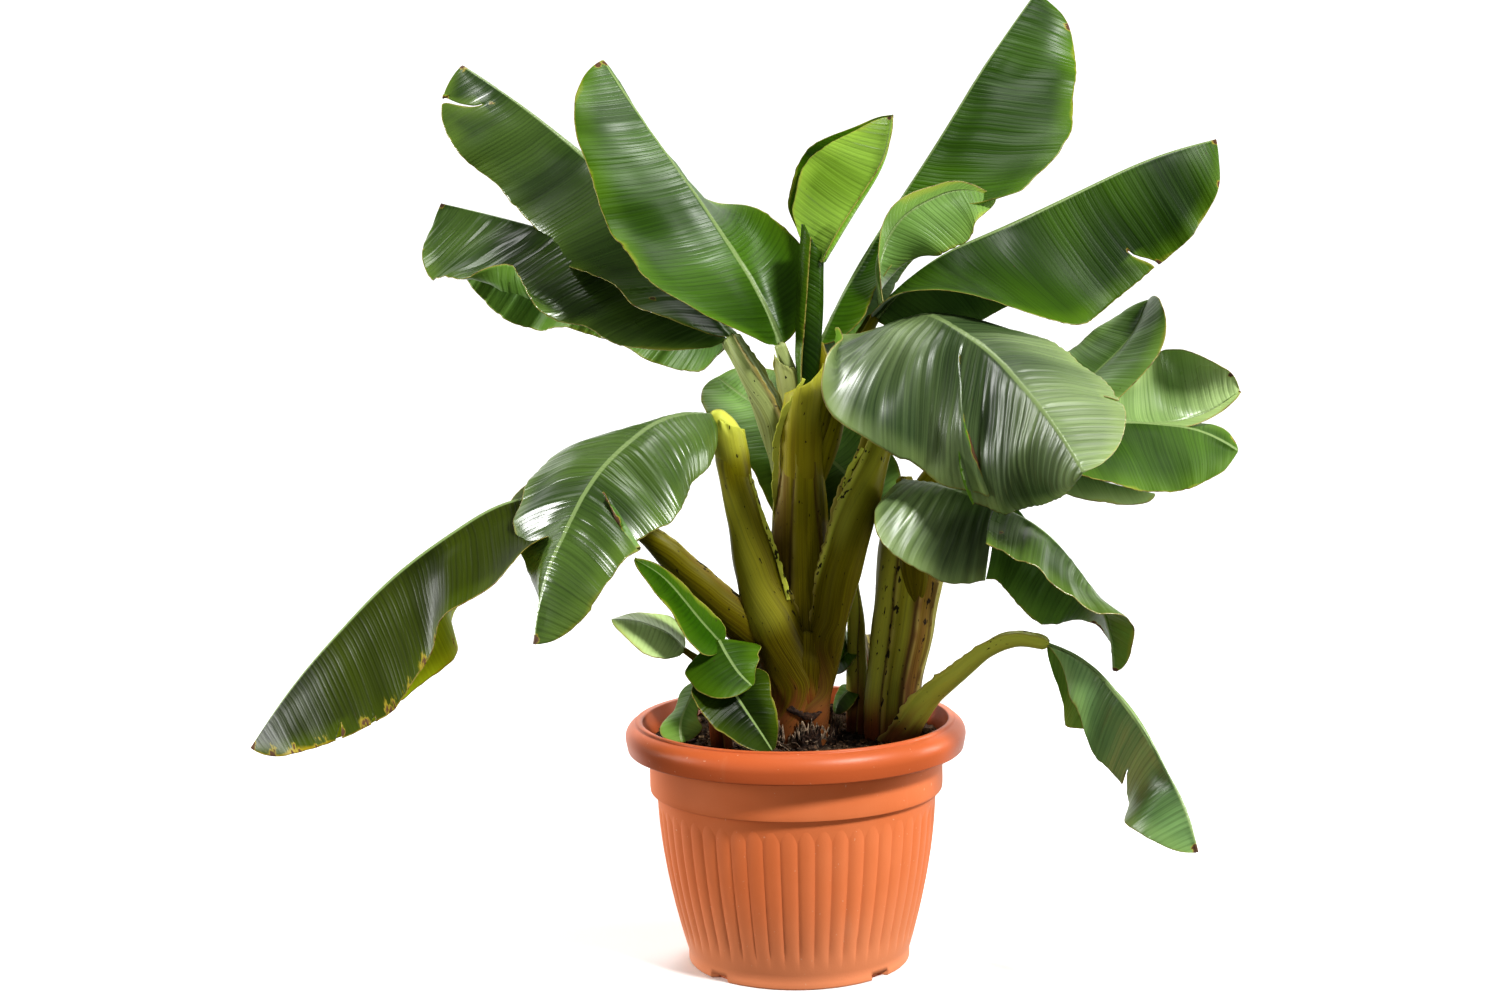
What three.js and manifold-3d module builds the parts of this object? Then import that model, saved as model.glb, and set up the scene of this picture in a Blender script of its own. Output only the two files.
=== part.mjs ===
// Potted dwarf banana plant: a fluted terracotta-coloured pot, soil, two thick stems, suckers,
// leaf stalks and broad torn leaves.
// Millimetres, +Z up. The origin is the centre of the pot's flat underside. X runs to the right
// and Y away from the viewer, as the plant is seen from its front.
import * as THREE from "three";
import { mergeVertices } from "three/addons/utils/BufferGeometryUtils.js";
import Module from "manifold-3d";

const wasm = await Module();
wasm.setup();

// Driving dimensions of the pot and the soil
const RIM_RADIUS = 200;
const POT_HEIGHT = 287;
const FOOT_RADIUS = 131;
const FOOT_HEIGHT = 12;
const COLLAR_RADIUS = 172;
const COLLAR_Z = 205;
const LIP_Z = 252;
const BODY_TOP_RADIUS = 164;
const WALL = 4;
const MOUTH_RADIUS = 180;
const FLUTES = 52;
const FLUTE_DEPTH = 2.2;
const FLUTE_START_Z = 27;
const SOIL_Z = 257;
const NOTCH = { count: 4, width: 24, height: 7, depth: 10 };

// Rules that hold for every piece of the plant
const GAP = 0.35;                 // clearance between neighbours
const BLADE_RATIO = 0.0105;       // leaf thickness as a share of leaf length
const MIN_HALF_WIDTH = 3;         // half width left at a leaf's foot and tip
const VEIN_SWEEP = 0.35;          // how far the veins lean towards the tip
const RIB_SHARE = 0.018;          // midrib height at the foot as a share of leaf length
const DEG = Math.PI / 180;

const COLOURS = {
  pot: { color: 0xc8653a, roughness: 0.55 },
  soil: { color: 0x3a2a1e, roughness: 1 },
  stem: { color: 0x8a7a35, roughness: 0.5 },
  stalk: { color: 0x93983a, roughness: 0.45 },
  leaf: { color: 0x2f6b2a, roughness: 0.4 },
  dry: { color: 0x6b5340, roughness: 0.95 },
};

const plant = new THREE.Group();
const pieces = [];

// Smooth value between evenly spaced keys, for t from 0 to 1
function keyed(keys, t) {
  if (!Array.isArray(keys)) return keys;
  const x = THREE.MathUtils.clamp(t, 0, 1) * (keys.length - 1);
  const i = Math.min(Math.floor(x), keys.length - 2);
  return THREE.MathUtils.lerp(keys[i], keys[i + 1], THREE.MathUtils.smoothstep(x - i, 0, 1));
}

function geometryOf(positions, triangles) {
  const geometry = new THREE.BufferGeometry();
  geometry.setAttribute("position", new THREE.Float32BufferAttribute(positions, 3));
  geometry.setIndex(triangles);
  return geometry;
}

function solidOf(geometry) {
  geometry.deleteAttribute("normal");
  geometry.deleteAttribute("uv");
  const merged = mergeVertices(geometry, 1e-4);
  return new wasm.Manifold(new wasm.Mesh({
    numProp: 3,
    vertProperties: new Float32Array(merged.attributes.position.array),
    triVerts: new Uint32Array(merged.index.array),
  }));
}

function largestBody(solid) {
  const bodies = solid.decompose();
  bodies.sort((a, b) => b.volume() - a.volume());
  return bodies[0];
}

// Midrib of a leaf: a curve walked from its foot by heading (0 = +X, 90 = away) and rise in degrees
class Rib {
  static STEPS = 120;

  constructor(leaf) {
    this.leaf = leaf;
    this.points = [new THREE.Vector3(...leaf.base)];
    for (let i = 0; i < Rib.STEPS; i += 1) {
      const step = this.direction((i + 0.5) / Rib.STEPS).multiplyScalar(leaf.length / Rib.STEPS);
      this.points.push(this.points[i].clone().add(step));
    }
  }

  direction(t) {
    const head = keyed(this.leaf.head, t) * DEG;
    const rise = keyed(this.leaf.rise, t) * DEG;
    return new THREE.Vector3(
      Math.cos(rise) * Math.cos(head), Math.cos(rise) * Math.sin(head), Math.sin(rise));
  }

  at(t) {
    const x = THREE.MathUtils.clamp(t, 0, 1) * Rib.STEPS;
    const i = Math.min(Math.floor(x), Rib.STEPS - 1);
    return this.points[i].clone().lerp(this.points[i + 1], x - i);
  }

  // The leaf's left and its upper side at t, turned by the leaf's roll
  frame(t) {
    const along = this.direction(t);
    const head = keyed(this.leaf.head, t) * DEG;
    const left = new THREE.Vector3(-Math.sin(head), Math.cos(head), 0);
    const roll = keyed(this.leaf.roll ?? 0, t) * DEG;
    left.applyAxisAngle(along, roll);
    return { left, up: new THREE.Vector3().crossVectors(along, left) };
  }
}

// 1 along a leaf, rounded down to 0 at its foot and its tip
function roundEnds(y) {
  const foot = THREE.MathUtils.clamp(1 - y / 0.3, 0, 1);
  const tip = THREE.MathUtils.clamp((y - 0.6) / 0.4, 0, 1);
  return Math.sqrt(1 - foot ** 2.2) * Math.sqrt(Math.max(0, 1 - tip ** 2.4));
}

// Sum of the unit steps of a half that opens by `open` and bends on by `curl` degrees, up to u
function bend(open, curl, u) {
  const steps = 24;
  let across = 0;
  let up = 0;
  for (let k = 0; k < steps; k += 1) {
    const angle = (open + curl * u * (k + 0.5) / steps) * DEG;
    across += Math.cos(angle) * u / steps;
    up += Math.sin(angle) * u / steps;
  }
  return { across, up };
}

// Point and upper normal of a leaf at s along it and u across: -1 right margin, 0 rib, 1 left margin
function leafPoint(leaf, rib, s, u, widen) {
  const side = u < 0 ? leaf.right : leaf.left;
  const sign = u < 0 ? -1 : 1;
  const across = Math.abs(u);
  const sweep = side.sweep ?? VEIN_SWEEP;
  const veinEnd = s + sweep * s * (1 - s);
  const y = s + (veinEnd - s) * across ** 1.5;
  const width = Math.max(keyed(side.width, veinEnd) * roundEnds(veinEnd), MIN_HALF_WIDTH) + widen;
  const open = keyed(side.open, s);
  const curl = keyed(side.curl, s);
  const reach = bend(open, curl, across);
  const { left, up } = rib.frame(y);
  const point = rib.at(y)
    .addScaledVector(left, sign * width * reach.across)
    .addScaledVector(up, width * reach.up);
  const tilt = (open + curl * across) * DEG;
  const normal = up.clone().multiplyScalar(u === 0 ? 1 : Math.cos(tilt));
  if (u !== 0) normal.addScaledVector(left, -sign * Math.sin(tilt));
  return { point, normal };
}

// A leaf blade as a closed thin solid with a keel under its midrib
function blade(leaf, grow = 0) {
  const rib = new Rib(leaf);
  const from = leaf.from ?? 0;
  const to = leaf.to ?? 1;
  const half = leaf.length * BLADE_RATIO / 2 + grow;
  const across = leaf.small ? [-1, -0.5, 0, 0.5, 1] : [-1, -0.55, -0.08, 0, 0.08, 0.55, 1];
  const rows = Math.max(4, Math.round((leaf.small ? 5 : 10) * (to - from)));
  const endGrow = grow / leaf.length;
  const positions = [];
  for (let i = 0; i <= rows; i += 1) {
    const s = THREE.MathUtils.lerp(from - endGrow, to + endGrow, i / rows);
    for (const u of across) {
      const { point, normal } = leafPoint(leaf, rib, s, u, grow);
      const keel = u === 0 ? leaf.length * RIB_SHARE * (1 - 0.8 * s) : 0;
      positions.push(...point.clone().addScaledVector(normal, half));
      positions.push(...point.clone().addScaledVector(normal, -half - keel));
    }
  }
  const columns = across.length;
  const top = (i, j) => 2 * (i * columns + j);
  const under = (i, j) => top(i, j) + 1;
  const triangles = [];
  const quad = (a, b, c, d) => triangles.push(a, b, c, a, c, d);
  for (let i = 0; i < rows; i += 1) {
    for (let j = 0; j < columns - 1; j += 1) {
      quad(top(i, j), top(i + 1, j), top(i + 1, j + 1), top(i, j + 1));
      quad(under(i, j), under(i, j + 1), under(i + 1, j + 1), under(i + 1, j));
    }
    quad(top(i, 0), under(i, 0), under(i + 1, 0), top(i + 1, 0));
    const last = columns - 1;
    quad(top(i, last), top(i + 1, last), under(i + 1, last), under(i, last));
  }
  for (let j = 0; j < columns - 1; j += 1) {
    quad(top(0, j), top(0, j + 1), under(0, j + 1), under(0, j));
    quad(top(rows, j), under(rows, j), under(rows, j + 1), top(rows, j + 1));
  }
  return solidOf(geometryOf(positions, triangles));
}

// A stem or stalk: one tapering limb along a smooth curve, with flat ends
function limb({ path, radius, sides = 9, rows = 6 }, grow = 0) {
  const curve = new THREE.CatmullRomCurve3(path.map((p) => new THREE.Vector3(...p)), false, "chordal");
  const positions = [];
  const start = curve.getTangentAt(0);
  const across = new THREE.Vector3(0, 1, 0).cross(start).normalize();
  for (let i = 0; i <= rows; i += 1) {
    const t = i / rows;
    const tangent = curve.getTangentAt(t);
    across.addScaledVector(tangent, -across.dot(tangent)).normalize();
    const other = new THREE.Vector3().crossVectors(tangent, across);
    const centre = curve.getPointAt(t);
    if (i === 0) centre.addScaledVector(tangent, -grow);
    if (i === rows) centre.addScaledVector(tangent, grow);
    for (let j = 0; j < sides; j += 1) {
      const angle = 2 * Math.PI * j / sides;
      const reach = keyed(radius, t) + grow;
      positions.push(...centre.clone()
        .addScaledVector(across, reach * Math.cos(angle))
        .addScaledVector(other, reach * Math.sin(angle)));
    }
  }
  const triangles = [];
  for (let i = 0; i < rows; i += 1) {
    for (let j = 0; j < sides; j += 1) {
      const a = i * sides + j;
      const b = i * sides + (j + 1) % sides;
      triangles.push(a, b, b + sides, a, b + sides, a + sides);
    }
  }
  const lid = rows * sides;
  for (let j = 1; j < sides - 1; j += 1) {
    triangles.push(0, j + 1, j, lid, lid + j, lid + j + 1);
  }
  return solidOf(geometryOf(positions, triangles));
}

// Outer radius of the pot's fluted body, which swells from the foot to the collar
function bodyRadius(z) {
  const t = (z - FOOT_HEIGHT) / (COLLAR_Z - FOOT_HEIGHT);
  return BODY_TOP_RADIUS - (BODY_TOP_RADIUS - FOOT_RADIUS) * (1 - t) ** 1.8;
}

// A solid turned about +Z from [radius, height] points that run from the axis back to it
function turned(profile, segments) {
  const geometry = new THREE.LatheGeometry(profile.map(([r, z]) => new THREE.Vector2(r, z)), segments);
  geometry.rotateX(Math.PI / 2);
  return geometry;
}

function pot() {
  const bodyZ = [FLUTE_START_Z, 75, 135, COLLAR_Z];
  const outside = [[0, 0], [FOOT_RADIUS, 0], [FOOT_RADIUS, FOOT_HEIGHT]];
  const firstFluted = outside.length + 1;
  for (const z of bodyZ) outside.push([bodyRadius(z), z]);
  const lastFluted = outside.length - 1;
  outside.push([COLLAR_RADIUS, COLLAR_Z], [COLLAR_RADIUS + 1, LIP_Z - 2]);
  outside.push([RIM_RADIUS - 3, LIP_Z], [RIM_RADIUS, 268]);
  outside.push([RIM_RADIUS - 11, POT_HEIGHT], [0, POT_HEIGHT]);
  const geometry = turned(outside, 2 * FLUTES);
  const position = geometry.attributes.position;
  for (let i = 0; i < position.count; i += 1) {
    const row = i % outside.length;
    const isValley = Math.floor(i / outside.length) % 2 === 1;
    if (!isValley || row < firstFluted || row > lastFluted) continue;
    const shrink = 1 - FLUTE_DEPTH / outside[row][0];
    position.setX(i, position.getX(i) * shrink);
    position.setY(i, position.getY(i) * shrink);
  }
  let solid = solidOf(geometry).subtract(solidOf(turned([
    ...insideProfile(0),
    [MOUTH_RADIUS - 3, POT_HEIGHT - 5], [MOUTH_RADIUS, POT_HEIGHT + 1], [0, POT_HEIGHT + 1],
  ], FLUTES)));
  for (let k = 0; k < NOTCH.count; k += 1) {
    const notch = new THREE.BoxGeometry(NOTCH.depth, NOTCH.width, NOTCH.height);
    notch.translate(FOOT_RADIUS, 0, NOTCH.height / 2);
    notch.rotateZ(Math.PI / 4 + k * 2 * Math.PI / NOTCH.count);
    solid = solid.subtract(solidOf(notch));
  }
  return solid;
}

// The pot's inner wall up to the soil line, drawn in by `inset`
function insideProfile(inset) {
  const floor = FLUTE_START_Z - WALL + inset;
  const skin = WALL + FLUTE_DEPTH + inset;
  const profile = [[0, floor], [bodyRadius(FLUTE_START_Z) - skin, floor]];
  for (const z of [75, 135, COLLAR_Z]) profile.push([bodyRadius(z) - skin, z]);
  profile.push([COLLAR_RADIUS - WALL - inset, COLLAR_Z + 8], [COLLAR_RADIUS - WALL - inset, SOIL_Z]);
  return profile;
}

// The soil fills the pot; `grow` lifts its surface to keep the stems clear of it
function soil(grow) {
  const profile = insideProfile(2 * GAP);
  profile[profile.length - 1][1] = SOIL_Z + grow;
  return solidOf(turned([...profile, [0, SOIL_Z + grow]], FLUTES));
}

const STEM_FOOT = [7, 0];

// Torn dry sheath that rings the main stem's foot
function drySheath(inner, height, outer) {
  const sides = 18;
  const positions = [];
  for (let i = 0; i < sides; i += 1) {
    const angle = 2 * Math.PI * i / sides;
    const top = SOIL_Z + height * (0.6 + 0.4 * Math.cos(5 * angle) * Math.cos(2 * angle));
    for (const [r, z] of [[inner, FOOT_Z], [outer, FOOT_Z], [outer - 3, top], [inner, top]]) {
      positions.push(STEM_FOOT[0] + r * Math.cos(angle), STEM_FOOT[1] + r * Math.sin(angle), z);
    }
  }
  const triangles = [];
  for (let i = 0; i < sides; i += 1) {
    for (let j = 0; j < 4; j += 1) {
      const a = 4 * i + j;
      const b = 4 * i + (j + 1) % 4;
      const c = 4 * ((i + 1) % sides) + (j + 1) % 4;
      const d = 4 * ((i + 1) % sides) + j;
      triangles.push(a, d, c, a, c, b);
    }
  }
  return solidOf(geometryOf(positions, triangles));
}

const FOOT_Z = SOIL_Z - 5;         // limbs start here and the soil cuts them flat

// Stems and leaf stalks: the path runs from the foot to the top, with radii along it
const LIMBS = {
  stem_main: {
    path: [[7, 0, FOOT_Z], [5, 0, 300], [1, 0, 355], [3, 2, 395]],
    radius: [35, 31, 41, 49, 42], sides: 16, rows: 7, material: "stem",
  },
  stem_centre: {
    path: [[11, 8, 370], [9, 14, 470], [11, 12, 566], [12, 8, 625], [20, 5, 668]],
    radius: [38, 38, 33, 26, 15], sides: 14, material: "stem",
  },
  stalk_front_left: {
    path: [
      [-8, -18, 345], [-36, -35, 444], [-53, -40, 526],
      [-67, -42, 590], [-77, -45, 636], [-91, -48, 649],
    ],
    radius: [34, 32, 25, 20, 14, 9],
  },
  stalk_front_right: {
    path: [
      [32, -20, 330], [42, -28, 406], [61, -30, 488], [82, -26, 557],
      [103, -18, 613], [122, -15, 690], [127, -27, 748],
    ],
    radius: [14, 20, 25, 24, 19, 14, 9],
  },
  stalk_low_left: {
    path: [
      [-20, -12, 365], [-73, -30, 420], [-118, -40, 467],
      [-162, -48, 511], [-201, -52, 539], [-222, -55, 547],
    ],
    radius: [32, 26, 23, 19, 13, 9],
  },
  stalk_left_mid: {
    path: [[-6, 22, 580], [-23, 26, 647], [-46, 32, 694], [-67, 41, 736]],
    radius: [16, 20, 15, 9],
  },
  stalk_left_low: {
    path: [[-4, 42, 570], [-28, 50, 645], [-52, 53, 695], [-74, 55, 731]],
    radius: [18, 15, 11, 8],
  },
  stalk_left_high: {
    path: [[10, 12, 650], [0, 11, 695], [-10, 10, 727]],
    radius: [12, 11, 8], rows: 4,
  },
  roll_centre: {
    path: [[20, 2, 672], [23, 2, 718], [26, 5, 775], [29, 8, 838]],
    radius: [12, 16, 17, 15], sides: 12, rows: 4, material: "leaf",
  },
  stalk_right_high: {
    path: [[36, 8, 640], [42, 9, 690], [34, 10, 727]],
    radius: [13, 12, 9], rows: 4,
  },
  stalk_right_mid: {
    path: [[44, 14, 610], [58, 17, 665], [76, 22, 712], [101, 31, 756]],
    radius: [14, 13, 11, 8], rows: 5,
  },
  stem_second: {
    path: [[112, 15, FOOT_Z], [116, 18, 313], [130, 25, 396], [142, 32, 478], [148, 35, 548]],
    radius: [32, 33, 37, 41, 30], sides: 14, material: "stem",
  },
  stalk_second_right: {
    path: [[150, 32, 540], [172, 30, 575], [206, 25, 598], [248, 20, 609]],
    radius: [18, 14, 11, 8],
  },
  stalk_second_outer: {
    path: [[158, 50, 520], [190, 56, 575], [240, 62, 602], [299, 60, 616]],
    radius: [16, 13, 10, 8],
  },
  stalk_second_far: {
    path: [[150, 62, 500], [180, 72, 575], [235, 78, 622], [300, 71, 641]],
    radius: [14, 12, 10, 8],
  },
  stalk_second_front: {
    path: [[142, -6, 470], [139, -25, 521], [134, -48, 553], [127, -62, 573]],
    radius: [17, 15, 12, 9], rows: 5,
  },
  stalk_second_back: {
    path: [[132, 58, 460], [120, 52, 500], [104, 46, 525]],
    radius: [14, 12, 9], rows: 4,
  },
  stalk_low_right: {
    path: [
      [118, -16, FOOT_Z], [157, -60, 324], [188, -85, 356],
      [218, -103, 384], [247, -113, 396], [284, -121, 391],
    ],
    radius: [17, 14, 12, 11, 10, 8], sides: 12,
  },
  stalk_back_high: {
    path: [[22, 40, 560], [36, 56, 640], [52, 84, 690], [72, 114, 714]],
    radius: [16, 15, 12, 9], rows: 5,
  },
  stalk_back_low: {
    path: [[110, 66, FOOT_Z], [104, 110, 318], [100, 165, 347], [97, 214, 328], [95, 238, 290]],
    radius: [15, 13, 11, 10, 8],
  },
  sucker_left: {
    path: [[-85, -35, FOOT_Z], [-90, -52, 320], [-92, -66, 372], [-90, -72, 392]],
    radius: [13, 12, 10, 6], rows: 5, material: "stem",
  },
  sucker_stalk_outer: {
    path: [[-92, -62, 352], [-108, -57, 366], [-127, -60, 381]], radius: [6, 5, 4], sides: 8, rows: 4,
  },
  sucker_stalk_rim: {
    path: [[-88, -52, 318], [-99, -64, 338], [-109, -71, 348]], radius: [6, 5, 4], sides: 8, rows: 4,
  },
  sucker_stalk_low: {
    path: [[-91, -60, 345], [-92, -68, 355], [-93, -77, 356]], radius: [6, 5, 4], sides: 8, rows: 3,
  },
  sucker_back: {
    path: [[74, 42, FOOT_Z], [75, 48, 344], [74, 50, 417], [72, 50, 442]],
    radius: [13, 12, 8, 4], material: "stem",
  },
};

// Leaves: midrib by foot, length, heading and rise, then each half's width (mm), opening from the
// level and further curl (degrees), all along the leaf from its foot to its tip
const LEAVES = {
  leaf_left_high: {
    base: [-9, 10, 724], length: 409, head: [157, 157, 150], rise: [67, 56, 52, 54], roll: [-14, 5],
    left: { width: [100, 135, 115, 95, 90], open: [5, -40, -25], curl: [-5, -20] },
    right: { width: [65, 75, 95, 75, 60], open: [50, -25, -5], curl: [40, -30] },
  },
  leaf_left_mid: {
    base: [-65, 40, 734], length: 543, head: [131, 146, 160], rise: [38, 47, 36, 32], roll: [8, -6],
    left: { width: [100, 85, 115, 105, 140], open: [-15, -75, -30], curl: [5, -20] },
    right: { width: 105, open: -20, curl: -20 },
  },
  leaf_left_low: {
    base: [-72, 55, 729], length: 468, head: [132, 152, 163], rise: [36, 27, 15, 13], roll: [1, 6],
    left: { width: [100, 115, 145, 160, 190], open: [-25, -30, -45], curl: [-20, -5] },
    right: { width: [105, 110, 115, 140, 125], open: [-60, -60, -55], curl: [-35, -30] },
  },
  leaf_second_back: {
    base: [105, 45, 523], length: 291, head: [144, 145, 139], rise: [45, 35, 26, 29], roll: [-4, 1],
    left: { width: [90, 100, 90, 80, 70], open: [-45, -15, -15], curl: [-15, 5] },
    right: { width: 80, open: [10, 10, 25], curl: [10, 20] },
  },
  leaf_right_high: {
    base: [33, 10, 724], length: 557, head: [50, 36, 32], rise: [51, 48, 51, 48], roll: [-16, 6],
    left: { width: 90, open: -50, curl: -20 },
    right: { width: [75, 55, 40, 148, 148, 128, 135], open: [-40, -30, -33], curl: [35, -30] },
  },
  leaf_right_high_lobe: {
    base: [109, 10, 770], length: 245, small: true,
    head: [110, 27, 16], rise: [66, 55, 23, -23], roll: [19, 11],
    left: { width: 8, open: -60, curl: 0 },
    right: { width: [45, 40, 70, 77, 80], open: [-42, -36, -20], curl: [-43, -17] },
  },
  leaf_centre: {
    base: [40, -8, 818], length: 189, head: [9, 16, 38], rise: [58, 55, 80], roll: [18, 14], small: true,
    left: { width: [75, 90, 100, 90, 75], open: [5, 15, -5], curl: [20, 5] },
    right: { width: 14, open: 40, curl: 0 },
  },
  leaf_right_mid: {
    base: [98, 30, 753], length: 502, head: [-9, 25, 21], rise: [49, 21, 22, 12], roll: [-5, 7],
    left: { width: 105, open: -50, curl: -30 },
    right: { width: [125, 146, 145, 130, 130], open: [-8, -83, -62], curl: [0, -17] },
  },
  leaf_front_right: {
    base: [125, -25, 748], length: 363, head: [-61, -55, -47], rise: [15, -21, -38, -53], roll: [0, 23],
    left: { width: [75, 90, 110, 120, 115], open: [0, -10, -10], curl: [-20, 0] },
    right: { width: [150, 170, 150, 155, 190], open: [-10, -50, -75], curl: [-10, -30] },
    split: 0.45,
  },
  leaf_far_right_high: {
    base: [298, 70, 639], length: 206, head: [15, 25, 47], rise: [24, 37, 56], roll: [20, 4],
    left: { width: 70, open: [10, 10, -5], curl: [-10, -20] },
    right: { width: [75, 80, 80, 70, 70], open: [20, 15, 45], curl: [-30, 5] },
  },
  leaf_far_right_mid: {
    base: [296, 60, 615], length: 281, head: [22, 20, 18], rise: [5, -3, 32], roll: [-2, 15],
    left: { width: [90, 80, 75, 95, 110], open: [35, 30, 85], curl: [-5, 40] },
    right: { width: 16, open: -10, curl: 0 },
  },
  leaf_far_right_low: {
    base: [245, 20, 608], length: 323, head: [19, 19, 16], rise: [13, 2, -7, -32], roll: [-7, 3],
    left: { width: [40, 30, 25, 40, 65], open: [-10, -30, 40], curl: [-20, -5] },
    right: { width: [80, 80, 90, 85, 80], open: [-35, -55, -55], curl: [-10, -25] },
  },
  leaf_far_right_scrap: {
    base: [242, 26, 604], length: 212, head: [16, 15, 14], rise: [-24, -19, -14], small: true,
    left: { width: 20, open: -20, curl: -10 },
    right: { width: [36, 37, 37, 30, 28], open: -50, curl: -10 },
  },
  leaf_second_front: {
    base: [129, -60, 571], length: 357, head: [-36, -24, -6], rise: [-3, -20, -53, -89], roll: [0, 11],
    left: { width: [80, 80, 80, 80, 95], open: [-5, 15, 45], curl: [-80, -50] },
    right: { width: [170, 105, 80, 80, 90], open: [-5, -110, -50], curl: [-25, -45], sweep: 0.1 },
    split: 0.34,
    leftOuter: { width: [115, 100, 80, 90, 105], open: [-85, -75, 5], curl: [-85, -5] },
    rightOuter: { width: [65, 80, 85, 65, 40], open: [-5, -15, 45], curl: [-5, 35] },
  },
  leaf_low_right: {
    base: [281, -120, 393], length: 294, head: [-36, -43, -37], rise: [-12, -43, -57, -74], roll: [13, 21],
    left: { width: 60, open: -60, curl: -20 },
    right: { width: [20, 55, 90, 85, 65], open: [-50, -85, -30], curl: [-5, -15] },
  },
  leaf_front_left: {
    base: [-88, -45, 649], length: 391, head: [-135, -132, -146], rise: [7, -28, -56, -81], roll: [-3, 3],
    left: { width: [85, 85, 105, 80, 75], open: [-35, -15, -30], curl: [-45, -20] },
    right: { width: [85, 100, 115, 105, 90], open: [-20, 5, -30], curl: [-20, -10] },
    split: 0.45,
  },
  leaf_low_left: {
    base: [-218, -55, 544], length: 511, head: [-169, -168, -171], rise: [21, -32, -46, -56], roll: [-7, 0],
    left: { width: [150, 125, 100, 120, 110], open: [-25, -55, -30], curl: [40, -25] },
    right: { width: [90, 115, 140, 115, 85], open: [-15, -70, -70], curl: [40, -40] },
    split: 0.4,
  },
  sucker_leaf_outer: {
    base: [-125, -60, 379], length: 97, small: true,
    head: [-160, -165, -168], rise: [54, 24, 0], roll: [-10, -5],
    left: { width: [35, 40, 43, 40, 34], open: [-25, -30, -20], curl: -15 },
    right: { width: [35, 40, 35, 30, 25], open: [15, 5, -5], curl: [15, -5] },
  },
  sucker_leaf_folded: {
    base: [-82, -70, 386], length: 145, small: true,
    head: [-159, -163, -169], rise: [49, 53, 30], roll: [-13, -8],
    left: { width: [50, 45, 45, 45, 40], open: [-20, -15, -5], curl: [-15, -10] },
    right: { width: [30, 20, 15, 12, 10], open: [60, 50, 50], curl: 0 },
  },
  sucker_leaf_front: {
    base: [-85, -78, 394], length: 70, head: [-56, -48, -20], rise: [-46, -43, -39], roll: 2, small: true,
    left: { width: [33, 50, 37, 28, 28], open: [5, 15, 10], curl: -20 },
    right: { width: [41, 52, 51, 47, 43], open: -25, curl: -20 },
  },
  sucker_leaf_rim: {
    base: [-108, -70, 346], length: 78, head: [-125, -137, -64], rise: [-43, -56, -70], small: true,
    left: { width: [15, 10, 18, 27, 35], open: -18, curl: 0 },
    right: { width: 27, open: -17, curl: 0 },
  },
  sucker_leaf_low: {
    base: [-94, -75, 356], length: 119, head: [-45, -38, -30], rise: [-22, -48, -53], small: true,
    left: { width: [50, 63, 52, 48, 43], open: [5, 0, -10], curl: [5, -10] },
    right: { width: [53, 47, 46, 37, 33], open: [-15, -25, -20], curl: 0 },
  },
  leaf_back_high: {
    base: [72, 114, 714], length: 330, head: [58, 68, 72], rise: [25, 2, -25, -50], roll: [0, 5],
    left: { width: [85, 90, 88, 80, 75], open: -25, curl: -25 },
    right: { width: [85, 92, 90, 84, 78], open: -20, curl: -30 },
  },
  leaf_back_low: {
    base: [95, 238, 290], length: 268, head: [90, 96], rise: [-58, -80], small: true,
    left: { width: [60, 66, 70, 62, 55], open: -20, curl: -25 },
    right: { width: [60, 64, 66, 62, 52], open: -25, curl: -25 },
  },
  back_leaf_upright: {
    base: [72, 50, 332], length: 76, head: [147, 155], rise: [75, 70, 77], small: true,
    left: { width: [17, 20, 22, 17, 15], open: -20, curl: 0 },
    right: { width: [14, 15, 18, 20, 16], open: -15, curl: 0 },
  },
  back_leaf_middle: {
    base: [75, 46, 357], length: 42, head: [-167, -180], rise: [-5, -48, -80], small: true,
    left: { width: [16, 18, 22, 22, 20], open: -23, curl: 0 },
    right: { width: [13, 18, 19, 15, 12], open: 14, curl: 0 },
  },
  back_leaf_low: {
    base: [76, 44, 309], length: 45, head: [-156, -168], rise: [12, -47, -85], small: true,
    left: { width: [16, 18, 22, 22, 20], open: -22, curl: 0 },
    right: { width: [17, 20, 15, 11, 12], open: 11, curl: 0 },
  },
};

// A strongly arched leaf is two nodes that meet across a fine gap at its bend
function leafParts(name, leaf) {
  if (!leaf.split) return [[name, leaf]];
  const joint = 2.5 * GAP / leaf.length;
  return [
    [`${name}_inner`, { ...leaf, to: leaf.split }],
    [`${name}_outer`, {
      ...leaf,
      from: leaf.split + joint,
      left: leaf.leftOuter ?? leaf.left,
      right: leaf.rightOuter ?? leaf.right,
    }],
  ];
}

function add(name, build, material) {
  let solid = build(0);
  for (const earlier of pieces) {
    if (solid.intersect(earlier.grown).volume() < 1e-3) continue;
    solid = largestBody(solid.subtract(earlier.grown)).simplify(0.02);
  }
  pieces.push({ name, solid, grown: build(GAP), material });
}

function meshOf({ name, solid, material }) {
  const data = solid.getMesh();
  const mesh = new THREE.Mesh(
    geometryOf(data.vertProperties, Array.from(data.triVerts)),
    new THREE.MeshStandardMaterial({ ...COLOURS[material], metalness: 0 }));
  mesh.name = name;
  mesh.geometry.computeVertexNormals();
  return mesh;
}

plant.add(meshOf({ name: "pot", solid: pot(), material: "pot" }));
add("soil", soil, "soil");
for (const [name, spec] of Object.entries(LIMBS)) {
  add(name, (grow) => limb(spec, grow), spec.material ?? "stalk");
}
add("sheath_dry", () => drySheath(24, 18, 42), "dry");
for (const [name, spec] of Object.entries(LEAVES)) {
  for (const [part, leaf] of leafParts(name, spec)) {
    add(part, (grow) => blade(leaf, grow), "leaf");
  }
}
for (const piece of pieces) plant.add(meshOf(piece));

export default plant;
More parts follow.
